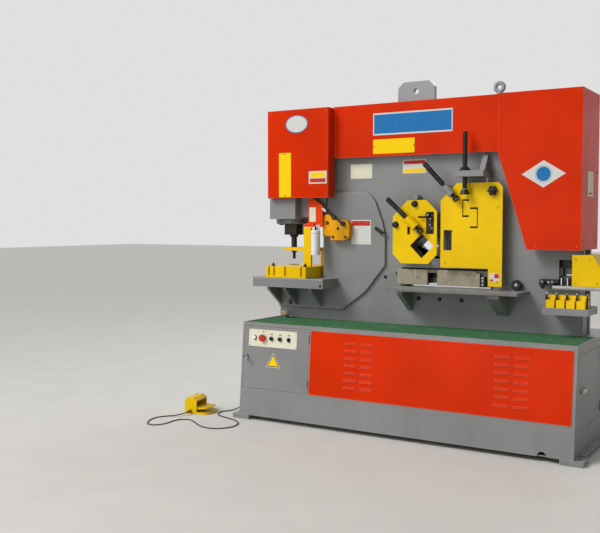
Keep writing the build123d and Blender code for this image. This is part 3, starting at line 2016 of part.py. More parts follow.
def slant_screw(start, slope):
    """Slanted screw: a thick grip with a rounded end, the spindle and its tail in the foot."""
    grip = Cylinder(slant_grip_radius, slant_grip_length)
    grip = fillet(grip.edges().group_by(Axis.Z)[0], slant_grip_end)
    x, z = along(start, slope, slant_grip_length / 2)
    grip = Pos(x, slant_y, z) * Rot(0, 90 + slope, 0) * grip
    tail_end = slant_boss_end + slant_foot_gap + slant_tail
    return grip + slanted(start, slope, slant_grip_length - overcut, tail_end, slant_screw_radius)


def slant_foot(start, slope):
    """Pad at the end of a slanted screw."""
    first = slant_boss_end + slant_foot_gap
    pad = slanted(start, slope, first, first + slant_foot_length, slant_foot_radius)
    socket_end = first + slant_tail + seat_gap
    return pad - slanted(start, slope, first - overcut, socket_end, slant_screw_radius + pin_gap)


# Notcher
def notcher_table():
    """Tray on the wall with a low rim, a pillar, and the table above it that runs through the frame."""
    left = notcher_left_x
    right = notcher_right_x
    wall = notcher_tray_wall
    tray_low = notcher_tray_low
    tray_top = tray_low + notcher_tray_height
    table_low_z = notcher_table_top - notcher_table_thickness
    tray = between(left, right, notcher_front_y, frame_front_y, tray_low, tray_top)
    tray -= between(
        left + wall,
        right - wall,
        notcher_front_y + wall,
        frame_front_y - wall,
        tray_low - overcut,
        tray_top - wall,
    )
    pillar = between(
        left + notcher_pillar_inset,
        frame_right_x,
        notcher_pillar_front_y,
        frame_front_y,
        tray_top - overcut,
        table_low_z,
    )
    table = between(
        left + notcher_table_inset,
        notcher_table_right_x,
        notcher_table_front_y,
        frame_front_y,
        table_low_z,
        notcher_table_top,
    )
    through = between(
        notch_left_x + seat_gap,
        notcher_table_right_x,
        frame_front_y - overcut,
        frame_back_y,
        table_low_z,
        notcher_table_top,
    )
    slug_wall = notch_die_wall - notch_slug_gap
    slug_half = notch_half_width + notch_slug_gap
    slug_hole = between(
        notch_left_x + slug_wall,
        notch_die_right_x - slug_wall,
        frame_middle_y - slug_half,
        frame_middle_y + slug_half,
        table_low_z - overcut,
        notcher_table_top + overcut,
    )
    return tray + pillar + table + through - slug_hole


def notcher_die():
    """Notching die with a rectangular mouth."""
    top = notcher_table_top + notch_die_height
    wall = notch_die_wall - slide_gap
    mouth_half = notch_half_width + slide_gap
    block = between(
        notch_left_x + notch_slug_gap,
        notch_die_right_x,
        frame_middle_y - notch_die_half_depth,
        frame_middle_y + notch_die_half_depth,
        notcher_table_top,
        top,
    )
    mouth = between(
        notch_left_x + wall,
        notch_die_right_x - wall,
        frame_middle_y - mouth_half,
        frame_middle_y + mouth_half,
        notcher_table_top - overcut,
        top + overcut,
    )
    return block - mouth


def notcher_gauges():
    """Row of stepped gauge blocks on the tray, and the stop bar on the table."""
    tray_top = notcher_tray_low + notcher_tray_height
    step_z = tray_top + gauge_height
    step_y = notcher_front_y + gauge_step_depth
    blocks = []
    for index in range(gauge_count):
        x0 = notcher_left_x + gauge_inset + index * gauge_pitch
        step = outline(
            (notcher_front_y + hole_gap, tray_top),
            (notcher_front_y + hole_gap, step_z),
            (step_y, step_z),
            (step_y, step_z + gauge_step_height),
            (gauge_back_y, step_z + gauge_step_height),
            (gauge_back_y, tray_top),
        )
        blocks.append(crosswise(step, x0, x0 + gauge_pitch - gauge_gap))
    stop_bar = between(
        stop_bar_left_x,
        stop_bar_right_x,
        stop_bar_front_y,
        frame_front_y - seat_gap,
        notcher_table_top,
        notcher_table_top + stop_bar_height,
    )
    return blocks + [stop_bar]


def notcher_guard():
    """Guard outside the notching die: a front plate and a hood that wraps round the frame's end."""
    low = notcher_table_top
    top = low + notcher_guard_height
    hood_left = frame_right_x + notcher_guard_inset
    right = notcher_table_right_x - notcher_guard_inset
    front_y = notcher_table_front_y + notcher_guard_inset
    slope_foot = (right, top - notcher_guard_slope_z)
    slope_top = (right - notcher_guard_slope_x, top)
    hood = outline((hood_left, low), (hood_left, top), slope_top, slope_foot, (right, low))
    plate = outline(
        (notcher_guard_left_x, low), (notcher_guard_left_x, top), slope_top, slope_foot, (right, low)
    )
    inside = offset(hood, -notcher_guard_sheet)
    guard = upright(hood, front_y, frame_middle_y)
    guard -= upright(inside, front_y + notcher_guard_sheet, frame_middle_y + overcut)
    return guard + upright(plate, front_y, front_y + notcher_guard_sheet)


# Cabinet contents
def oil_tank():
    """Oil tank on the cabinet floor, with its filler neck and breather cap on the deck."""
    tank_top = floor_top + tank_height
    tank = between(tank_left_x, tank_right_x, tank_front_y, tank_back_y, floor_top, tank_top)
    tank = fillet(tank.edges().filter_by(Axis.Z), tank_corner_radius)
    tank -= between(
        tank_left_x + tank_sheet,
        tank_right_x - tank_sheet,
        tank_front_y + tank_sheet,
        tank_back_y - tank_sheet,
        floor_top + tank_sheet,
        tank_top - tank_sheet,
    )
    neck_top = mat_top + breather_neck_height
    cap_top = neck_top + breather_cap_height
    neck = post_z(breather_x, breather_y, mat_top, neck_top, breather_neck_radius)
    cap = post_z(breather_x, breather_y, neck_top, cap_top, breather_cap_radius)
    cap = chamfer(cap.edges().group_by(Axis.Z)[-1], breather_cap_edge)
    return tank, neck + cap


def along_motor(x0, x1, radius):
    """Cylinder on the motor's axis."""
    return post_x(motor_y, motor_axis_z, x0, x1, radius)


def motor_housing():
    """Foot-mounted motor: body, feet, fan cowl, terminal box and the bell towards the pump."""
    body = along_motor(motor_left_x, motor_right_x, motor_radius)
    body += between(
        motor_left_x + motor_foot_inset,
        motor_right_x - motor_foot_inset,
        motor_y - motor_foot_half,
        motor_y + motor_foot_half,
        floor_top,
        motor_axis_z - motor_foot_drop,
    )
    bell = along_motor(bell_left_x, motor_left_x, bell_radius)
    bell -= along_motor(bell_left_x + bell_wall, motor_left_x - bell_wall, bell_radius - bell_wall)
    cowl_right_x = motor_right_x + cowl_length
    cowl = along_motor(motor_right_x, cowl_right_x, motor_radius)
    cowl -= along_motor(motor_right_x, cowl_right_x - cowl_sheet, motor_radius - cowl_sheet)
    terminal = between(
        motor_x - terminal_half_length,
        motor_x + terminal_half_length,
        motor_y - terminal_half_width,
        motor_y + terminal_half_width,
        motor_axis_z + terminal_low,
        motor_axis_z + terminal_high,
    )
    shell = body + bell + cowl + terminal
    return shell - along_motor(bell_left_x - overcut, motor_right_x + overcut, shaft_radius + pin_gap)


def motor_rotor():
    """Shaft with the coupling hub at one end and the fan at the other."""
    shaft = along_motor(bell_left_x + seat_gap, motor_right_x + shaft_overrun, shaft_radius)
    hub_right_x = motor_left_x - hub_inset
    hub = along_motor(hub_right_x - hub_length, hub_right_x, hub_radius)
    fan_x = motor_right_x + fan_inset
    fan = along_motor(fan_x, fan_x + fan_width, fan_hub_radius)
    blade = Box(fan_width, fan_blade_thickness, fan_blade_reach)
    lift = Pos(0, 0, fan_hub_radius + fan_inset + fan_inset / 2)
    for index in range(fan_blades):
        turn = Rot(360 * index / fan_blades, 0, 0)
        fan += Pos(fan_x + fan_width / 2, motor_y, motor_axis_z) * turn * lift * blade
    return shaft + hub + fan


def hydraulic_pump():
    """Gear pump on the bell, with its pressure port on top."""
    body = along_motor(bell_left_x - pump_length, bell_left_x, pump_radius)
    port_low = motor_axis_z + pump_radius - port_root
    return body + post_z(pump_port_x, motor_y, port_low, port_top, port_radius)


def tube(points, bend, radius):
    """Pipe along straight runs with rounded bends."""
    path = FilletPolyline(*points, radius=bend)
    start = points[0]
    direction = Vector(*points[1]) - Vector(*start)
    section = Plane(origin=start, z_dir=direction) * Circle(radius)
    return sweep(section, path=path)


def pressure_pipe(start_x, start_z, run_z, riser_x, end_x, end_z):
    """Pipe from the pump up, along under the deck, and up between the frame plates to a cylinder."""
    route = [
        (start_x, motor_y, start_z),
        (start_x, motor_y, run_z),
        (riser_x, motor_y, run_z),
        (riser_x, frame_middle_y, run_z),
        (riser_x, frame_middle_y, end_z),
        (end_x, frame_middle_y, end_z),
    ]
    return tube(route, pipe_bend, pipe_radius)


def hydraulic_pipes():
    """Pressure pipes from the pump to the two cylinders."""
    to_shear = pressure_pipe(
        pump_port_x,
        port_top,
        pipe_run_z,
        pipe_x + pipe_half_pitch,
        shear_cylinder_x - shear_piston_radius - shear_cylinder_wall,
        shear_port_z,
    )
    to_punch = pressure_pipe(
        pump_port_x - 2 * pipe_half_pitch,
        motor_axis_z + pump_radius + seat_gap,
        pipe_run_z - 2 * pipe_half_pitch,
        pipe_x - pipe_half_pitch,
        ram_x + piston_radius + cylinder_wall,
        cylinder_top - punch_port_drop,
    )
    return to_shear, to_punch


def electrical_panel():
    """Back plate with rows of switchgear behind the cabinet door."""
    left = door_left_x + gear_panel_left_inset
    right = door_right_x - gear_panel_right_inset
    plate_y = bulkhead_y - gear_panel_thickness
    rail_y = plate_y - gear_rail_depth
    plate = between(
        left, right, plate_y, bulkhead_y, floor_top + gear_panel_rise, deck_underside - gear_panel_drop
    )
    pieces = [plate]
    for row in range(gear_row_count):
        z = floor_top + gear_row_low + row * gear_row_pitch
        rail_half = gear_rail_height / 2
        pieces.append(
            between(
                left + gear_rail_inset, right - gear_rail_inset, rail_y, plate_y, z - rail_half, z + rail_half
            )
        )
        for index in range(gear_count):
            x = left + gear_inset + index * gear_pitch
            gear_half = gear_height / 2
            pieces.append(
                between(x, x + gear_width, rail_y - gear_depth, rail_y, z - gear_half, z + gear_half)
            )
    return pieces


# Foot switch
pedal_place = Pos(pedal_x, pedal_y, 0) * Rot(0, 0, pedal_heading)


def foot_switch_base():
    """Cast housing: a hood open towards the toe, a low tread before it, a pivot pin and a cord gland."""
    half = pedal_width / 2
    mouth_top = hood_height - hood_brow
    crown_x = hood_length - hood_crown
    side = outline(
        (0, 0),
        (0, hood_height - hood_back_slope),
        (hood_back_slope, hood_height),
        (crown_x, hood_height),
        (hood_length, mouth_top),
        (hood_length, 0),
    )
    cavity = outline(
        (hood_back_wall, tread_height),
        (hood_back_wall, hood_height - hood_back_slope - hood_wall),
        (hood_back_wall + hood_wall, hood_height - 2 * hood_wall),
        (crown_x - hood_wall, hood_height - 2 * hood_wall),
        (hood_length + overcut, mouth_top - 2 * hood_wall),
        (hood_length + overcut, tread_height),
    )
    hood = upright(side, -half, half) - upright(cavity, -half + hood_wall, half - hood_wall)
    tread = between(hood_length - overcut, pedal_length, -half, half, 0, tread_height)
    tread = fillet(tread.edges().filter_by(Axis.Z).group_by(Axis.X)[-1], tread_corner_radius)
    gland = post_y(pedal_gland_x, pedal_gland_z, -half - gland_length, -half + overcut, gland_radius)
    pin = post_y(pedal_pivot_x, pedal_pivot_z, -half + overcut, half - overcut, pedal_pin_radius)
    return pedal_place * (hood + tread + gland + pin)


def foot_pedal():
    """Pedal plate that turns on the pin inside the hood."""
    half = pedal_width / 2 - hood_wall - pedal_side_gap
    toe_x = pedal_length - pedal_toe_inset
    heel_x = pedal_pivot_x - pedal_heel
    low = pedal_pivot_z - pedal_heel
    toe_low = pedal_pivot_z + pedal_toe_rise
    side = outline(
        (heel_x, low),
        (heel_x, pedal_pivot_z + pedal_thickness),
        (toe_x, toe_low + pedal_thickness),
        (toe_x, toe_low),
        (pedal_pivot_x + 2 * pedal_heel, low),
    )
    body = upright(side, -half, half)
    body = fillet(body.edges().filter_by(Axis.Z).group_by(Axis.X)[-1], pedal_toe_radius)
    pin_hole = post_y(
        pedal_pivot_x, pedal_pivot_z, -half - overcut, half + overcut, pedal_pin_radius + pin_gap
    )
    return pedal_place * (body - pin_hole)


# Points of the cord from the base's gland to the pedal's, along the floor
cord_route = [
    (-1320.0, -330.0, 95.0),
    (-1370.0, -330.0, 95.0),
    (-1418.0, -336.0, 68.0),
    (-1459.0, -352.0, 26.0),
    (-1506.0, -390.0, 4.9),
    (-1547.0, -452.0, 4.9),
    (-1545.0, -526.0, 4.9),
    (-1502.0, -586.0, 4.9),
    (-1432.0, -618.0, 4.9),
    (-1343.0, -640.0, 4.9),
    (-1257.0, -673.0, 4.9),
    (-1188.0, -738.0, 4.9),
    (-1158.0, -829.0, 4.9),
    (-1184.0, -924.0, 4.9),
    (-1262.0, -982.0, 4.9),
    (-1362.0, -972.0, 4.9),
    (-1452.0, -921.0, 4.9),
    (-1528.0, -861.0, 4.9),
    (-1605.0, -831.0, 4.9),
    (-1664.0, -873.0, 4.9),
    (-1671.0, -953.0, 4.9),
    (-1660.0, -1037.0, 4.9),
    (-1690.0, -1117.0, 4.9),
    (-1765.0, -1126.0, 4.9),
    (-1821.0, -1065.0, 4.9),
    (-1857.0, -984.0, 4.9),
    (-1862.0, -900.0, 4.9),
    (-1822.0, -828.0, 4.9),
    (-1766.0, -794.0, 8.0),
    (-1708.8, -737.8, 24.0),
    (-1721.68, -677.1, 24.0),
]


def cord_radii():
    """Bend radius at each corner of the route, as large as its two runs allow."""
    radii = []
    for before, corner, after in zip(cord_route, cord_route[1:], cord_route[2:]):
        first = Vector(*corner) - Vector(*before)
        second = Vector(*after) - Vector(*corner)
        turn = radians(first.get_angle(second))
        shorter = min(first.length, second.length)
        radii.append(corner_share * shorter / tan(turn / 2))
    return radii


def foot_switch_cord():
    """Cord from the base to the foot switch, lying on the floor."""
    radii = cord_radii()
    path = FilletPolyline(*cord_route, radius=radii)
    direction = Vector(*cord_route[1]) - Vector(*cord_route[0])
    section = Plane(origin=cord_route[0], z_dir=direction) * Circle(cord_radius)
    cord = sweep(section, path=path)
    expected = section.area * path.length
    print("cord length", round(path.length), "volume ratio", round(cord.volume / expected, 4))
    return cord


def write_base():
    """Write the base, its doors and the operator's parts."""
    save("base_cabinet", base_cabinet())
    save("foot_plates", *foot_plates())
    save("louvre_panel", louvre_panel())
    save("work_mat", work_mat())
    save("cabinet_door", cabinet_door())
    save("control_plate", *control_plate())
    save("door_latch", quarter_latch())
    low = collar_height + seat_gap
    save("estop_button", push_button(estop_x, estop_radius, low, estop_height, estop_travel))
    low = control_thickness + seat_gap
    save("start_button", push_button(start_x, button_radius, low, button_height, button_travel))
    save("stop_button", push_button(stop_x, button_radius, low, button_height, button_travel))
    save("mode_selector", selector())
    save("side_door", side_door())
    save("side_latch", side_latch())
    save("electrical_panel", *electrical_panel())
    save("oil_tank", *oil_tank())
    save("motor_housing", motor_housing())
    save("motor_rotor", motor_rotor())
    save("hydraulic_pump", hydraulic_pump())
    save("hydraulic_pipes", *hydraulic_pipes())


def write_frame():
    """Write the frame plates, what joins them, and the covers."""
    profile = frame_profile()
    save("front_frame_plate", upright(profile, frame_front_y, spacer_front_y))
    save("rear_frame_plate", upright(profile, spacer_back_y, frame_back_y))
    save("frame_spacers", *frame_spacers())
    save("throat_cheeks", *throat_cheeks())
    save("lifting_gear", *lifting_gear())
    save("punch_head_cover", punch_head_cover())
    save("beam_cover", beam_cover())
    save("column_cover", column_cover())


def write_punch_end():
    """Write the punch station and its fittings."""
    save("ram_housing", ram_housing())
    save("punch_cylinder", punch_cylinder())
    save("punch_ram", punch_ram())
    save("punch_tool", punch_tool())
    save("punch_table", punch_table())
    save("die_block", die_block())
    save("stripper", stripper())
    save("stroke_plate", stroke_plate())
    save("stroke_switch", stroke_switch())
    save("lever_block", lever_block())
    save("stroke_lever", stroke_lever())


def write_shear_side():
    """Write the shears, their guards and screws, and the notcher."""
    save("fixed_blades", *fixed_blades())
    save("shear_slide", shear_slide())
    save("moving_blades", *moving_blades())
    save("shear_cylinder", shear_cylinder())
    save("angle_guard", angle_guard())
    save("section_guard", section_guard())
    save("guard_knob", guard_knob())
    save("shear_table", shear_table())
    save("frame_bolts", *frame_bolts())
    save("screw_brackets", *screw_brackets())
    save("section_screw", section_screw())
    save("section_foot", section_foot())
    save("angle_screw", slant_screw(angle_clamp_start, angle_clamp_slope))
    save("angle_foot", slant_foot(angle_clamp_start, angle_clamp_slope))
    save("bar_screw", slant_screw(bar_clamp_start, bar_clamp_slope))
    save("bar_foot", slant_foot(bar_clamp_start, bar_clamp_slope))
    save("notcher_table", notcher_table())
    save("notcher_gauges", *notcher_gauges())
    save("notcher_guard", notcher_guard())


def write_foot_switch():
    """Write the foot switch and its cord."""
    save("foot_switch_base", foot_switch_base())
    save("foot_pedal", foot_pedal())
    save("foot_switch_cord", foot_switch_cord())


if __name__ == "__main__":
    write_base()
    write_frame()
    write_punch_end()
    write_shear_side()
    write_foot_switch()
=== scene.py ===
"""Dresses the ironworker's solids: paint, steel, labels, bolts, welds, controls, cord and a plain studio."""

import logging
import math
from dataclasses import dataclass
from enum import Enum

import bmesh
import bpy
from mathutils import Matrix, Vector


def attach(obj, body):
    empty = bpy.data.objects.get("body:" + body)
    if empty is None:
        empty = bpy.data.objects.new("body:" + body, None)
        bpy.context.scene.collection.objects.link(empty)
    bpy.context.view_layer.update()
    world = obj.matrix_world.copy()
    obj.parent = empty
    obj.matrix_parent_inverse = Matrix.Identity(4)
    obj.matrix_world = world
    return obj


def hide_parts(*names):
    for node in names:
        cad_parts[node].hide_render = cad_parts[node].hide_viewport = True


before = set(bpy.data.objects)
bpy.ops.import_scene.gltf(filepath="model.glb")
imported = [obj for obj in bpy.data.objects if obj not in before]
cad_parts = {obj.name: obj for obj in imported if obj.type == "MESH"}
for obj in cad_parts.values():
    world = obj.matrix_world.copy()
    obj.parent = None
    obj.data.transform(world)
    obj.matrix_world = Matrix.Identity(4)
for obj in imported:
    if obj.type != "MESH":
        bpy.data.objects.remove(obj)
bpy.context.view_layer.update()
LOG = logging.getLogger("ironworker")
Triple = tuple[float, float, float]
Pair = tuple[float, float]


# Shader kit
def linear(colour: Triple) -> tuple[float, float, float, float]:
    """Turn a colour in 0 to 255 steps, as seen on a screen, into linear light.

    Args:
        colour: Red, green and blue from 0 to 255.

    Returns:
        Red, green, blue and full opacity in linear light.
    """
    steps = [channel / 255 for channel in colour]
    light = [s / 12.92 if s <= 0.04045 else ((s + 0.055) / 1.055) ** 2.4 for s in steps]
    return (light[0], light[1], light[2], 1.0)


class Signal:
    """A number that comes out of a shader node and can be used in expressions."""

    def __init__(self, graph: "Graph", socket: bpy.types.NodeSocket) -> None:
        """Keep the graph and the socket that the number comes from.

        Args:
            graph: Node tree that the number belongs to.
            socket: Output that gives it.
        """
        self.graph = graph
        self.socket = socket

    def join(self, operation: str, first: "Signal | float", second: "Signal | float") -> "Signal":
        """Add a Math node for one operation.

        Args:
            operation: Name of the Math node's operation.
            first: Left value.
            second: Right value.

        Returns:
            The result.
        """
        node = self.graph.add("ShaderNodeMath", {"operation": operation}, {0: first, 1: second})
        return Signal(self.graph, node.outputs[0])

    def __add__(self, other: "Signal | float") -> "Signal":
        """Sum."""
        return self.join("ADD", self, other)

    def __radd__(self, other: "Signal | float") -> "Signal":
        """Sum with the number on the left."""
        return self.join("ADD", other, self)

    def __sub__(self, other: "Signal | float") -> "Signal":
        """Difference."""
        return self.join("SUBTRACT", self, other)

    def __rsub__(self, other: "Signal | float") -> "Signal":
        """Difference with the number on the left."""
        return self.join("SUBTRACT", other, self)

    def __mul__(self, other: "Signal | float") -> "Signal":
        """Product."""
        return self.join("MULTIPLY", self, other)

    def __rmul__(self, other: "Signal | float") -> "Signal":
        """Product with the number on the left."""
        return self.join("MULTIPLY", other, self)

    def between(self, low: float, high: float) -> "Signal":
        """Smooth step from 0 at low to 1 at high.

        Args:
            low: Value that gives 0.
            high: Value that gives 1.

        Returns:
            The step.
        """
        node = self.graph.add(
            "ShaderNodeMapRange",
            {"interpolation_type": "SMOOTHSTEP"},
            {"Value": self, "From Min": low, "From Max": high},
        )
        return Signal(self.graph, node.outputs["Result"])


class Graph:
    """Node tree of one material, with one method that adds any node."""

    def __init__(self, name: str) -> None:
        """Start a material with an empty tree.

        Args:
            name: Name of the material.
        """
        self.material = bpy.data.materials.new(name)
        self.material.use_nodes = True
        self.tree = self.material.node_tree
        self.tree.nodes.clear()
        self.place = self.add("ShaderNodeTexCoord", {}, {}).outputs["Object"]
        self.facing = self.add("ShaderNodeNewGeometry", {}, {}).outputs["Normal"]

    def add(self, kind: str, settings: dict, values: dict) -> bpy.types.Node:
        """Add a node, set it up and feed its sockets.

        Args:
            kind: Blender's name of the node type.
            settings: Properties of the node, set before its sockets.
            values: Socket name or number to a value, a Signal or another node's socket.

        Returns:
            The node.
        """
        node = self.tree.nodes.new(kind)
        for key, value in settings.items():
            setattr(node, key, value)
        for key, value in values.items():
            socket = node.inputs[key]
            if isinstance(value, Signal):
                self.tree.links.new(value.socket, socket)
            elif isinstance(value, bpy.types.NodeSocket):
                self.tree.links.new(value, socket)
            else:
                socket.default_value = value
        return node

    def noise(self, scale: float, detail: float = 3.0, stretch: Triple = (1.0, 1.0, 1.0)) -> Signal:
        """Cloudy pattern on the piece's own coordinates.

        Args:
            scale: Cells for each metre.
            detail: Octaves.
            stretch: Scale along X, Y and Z before the pattern.

        Returns:
            The pattern, about 0.3 to 0.7.
        """
        spread = self.add("ShaderNodeMapping", {}, {"Vector": self.place, "Scale": stretch})
        node = self.add(
            "ShaderNodeTexNoise", {}, {"Vector": spread.outputs[0], "Scale": scale, "Detail": detail}
        )
        return Signal(self, node.outputs["Fac"])

    def axis(self, vector: bpy.types.NodeSocket, name: str) -> Signal:
        """One part of a vector.

        Args:
            vector: Socket of the vector.
            name: Letter X, Y or Z.

        Returns:
            The part.
        """
        return Signal(self, self.add("ShaderNodeSeparateXYZ", {}, {0: vector}).outputs[name])

    def edges(self, radius: float) -> Signal:
        """How strongly the surface turns: 0 on flats, towards 1 on edges.

        Args:
            radius: Distance in metres within which it looks.

        Returns:
            The strength.
        """
        rounded = self.add("ShaderNodeBevel", {"samples": 4}, {"Radius": radius})
        node = self.add(
            "ShaderNodeVectorMath",
            {"operation": "DOT_PRODUCT"},
            {0: rounded.outputs[0], 1: self.facing},
        )
        return 1.0 - Signal(self, node.outputs["Value"])

    def blend(self, share: Signal, first: object, second: object) -> bpy.types.NodeSocket:
        """Mix two colours.

        Args:
            share: 0 for the first, 1 for the second.
            first: Colour or socket.
            second: Colour or socket.

        Returns:
            The mixed colour's socket.
        """
        node = self.add(
            "ShaderNodeMix", {"data_type": "RGBA"}, {"Factor": share, 6: first, 7: second}
        )
        return node.outputs[2]

    def relief(self, height: Signal, distance: float, under: object = None) -> bpy.types.NodeSocket:
        """Bump from a height.

        Args:
            height: Height from 0 to 1.
            distance: Real height of one unit in metres.
            under: Normal socket of a bump below this one.

        Returns:
            The normal's socket.
        """
        values = {"Height": height, "Distance": distance, "Strength": 1.0}
        if under is not None:
            values["Normal"] = under
        return self.add("ShaderNodeBump", {}, values).outputs[0]

    def finish(self, values: dict) -> bpy.types.Material:
        """Feed the main shader and the output.

        Args:
            values: Socket name of the main shader to its value.

        Returns:
            The finished material.
        """
        shader = self.add("ShaderNodeBsdfPrincipled", {}, values)
        self.add("ShaderNodeOutputMaterial", {}, {"Surface": shader.outputs[0]})
        return self.material


# Finishes
@dataclass(frozen=True)
class Enamel:
    """Sprayed enamel on steel: faint orange peel, uneven gloss, dust on top, grime low down, worn edges and a
    steady line along every edge that is a painted highlight where the edge colour is pale.
    """

    name: str
    slot: str
    colour: Triple
    gloss: float = 0.36
    dust: float = 0.25
    wear: float = 0.35
    grime: float = 0.3
    dust_colour: Triple = (168, 164, 152)
    grime_colour: Triple = (52, 46, 38)
    # Colour of bare steel at worn edges, and also the colour of the steady edge line, which is a painted
    # highlight where it is pale.
    bare_and_highlight_colour: Triple = (92, 86, 80)
    grime_height: float = 0.32
    # Share of a steady line along every edge: a painted highlight where the edge colour is pale, a line of
    # wear where it is dark.
    edge_wear_and_highlight: float = 0.15
    edge_radius: float = 0.007
    reflection: float = 0.3
    shade: float = 0.93

    def build(self) -> bpy.types.Material:
        """Make the material."""
        graph = Graph(self.name)
        broad = graph.noise(2.1, 4.0)
        fine = graph.noise(38.0, 5.0)
        runs = graph.noise(9.0, 4.0, (1.0, 1.0, 0.12))
        shade = tuple(channel * self.shade for channel in self.colour)
        colour = graph.blend(broad.between(0.35, 0.7), linear(self.colour), linear(shade))
        upward = graph.axis(graph.facing, "Z").between(0.55, 0.95)
        dusty = upward * fine.between(0.3, 0.68) * self.dust
        colour = graph.blend(dusty, colour, linear(self.dust_colour))
        low = 1.0 - graph.axis(graph.place, "Z").between(0.0, self.grime_height)
        dirty = (low * 0.8 + 0.2) * runs.between(0.42, 0.72) * self.grime
        colour = graph.blend(dirty, colour, linear(self.grime_colour))
        # Edges: patches of wear show bare steel, and a fixed share paints a steady line in the same colour on
        # every edge, a painted highlight where that colour is pale.
        rim = graph.edges(self.edge_radius).between(0.03, 0.24)
        worn_and_highlit = rim * (fine.between(0.5, 0.62) * self.wear + self.edge_wear_and_highlight)
        colour = graph.blend(worn_and_highlit, colour, linear(self.bare_and_highlight_colour))
        rough = self.gloss + (fine - 0.5) * 0.22 + (broad - 0.5) * 0.18 + dusty * 0.3 + dirty * 0.3
        peel = graph.relief(graph.noise(420.0, 2.0), 0.00012)
        wavy = graph.relief(broad, 0.0014, peel)
        return graph.finish(
            {"Base Color": colour, "Roughness": rough, "Normal": wavy, "Specular IOR Level": self.reflection}
        )


@dataclass(frozen=True)
class Steel:
    """Bare, blackened or plated steel with fine machining marks and a film of oil."""

    name: str
    slot: str
    colour: Triple
    shine: float = 0.32
    marks: Triple = (1.0, 1.0, 24.0)
    stain: float = 0.35
    metal: float = 1.0
    stain_colour: Triple = (48, 38, 28)
    shade: float = 0.72

    def build(self) -> bpy.types.Material:
        """Make the material."""
        graph = Graph(self.name)
        lines = graph.noise(60.0, 3.0, self.marks)
        cloud = graph.noise(14.0, 5.0)
        shade = tuple(channel * self.shade for channel in self.colour)
        colour = graph.blend(lines.between(0.35, 0.65), linear(self.colour), linear(shade))
        stained = cloud.between(0.5, 0.72) * self.stain
        colour = graph.blend(stained, colour, linear(self.stain_colour))
        rough = self.shine + (lines - 0.5) * 0.3 + stained * 0.4
        return graph.finish(
            {
                "Base Color": colour,
                "Metallic": self.metal,
                "Roughness": rough,
                "Normal": graph.relief(lines, 0.00015),
            }
        )


@dataclass(frozen=True)
class Moulding:
    """Plastic, rubber or print: a plain colour with a fine grain and rubbed patches."""

    name: str
    slot: str
    colour: Triple
    gloss: float = 0.4
    grain: float = 500.0
    depth: float = 0.0001
    fade: float = 0.2
    fade_colour: Triple = (150, 146, 138)
    reflection: float = 0.35

    def build(self) -> bpy.types.Material:
        """Make the material."""
        graph = Graph(self.name)
        patch = graph.noise(22.0, 5.0)
        grain = graph.noise(self.grain, 2.0)
        faded = patch.between(0.45, 0.75) * self.fade
        colour = graph.blend(faded, linear(self.colour), linear(self.fade_colour))
        rough = self.gloss + (patch - 0.5) * 0.25 + (grain - 0.5) * 0.1
        return graph.finish(
            {
                "Base Color": colour,
                "Roughness": rough,
                "Normal": graph.relief(grain, self.depth),
                "Specular IOR Level": self.reflection,
            }
        )


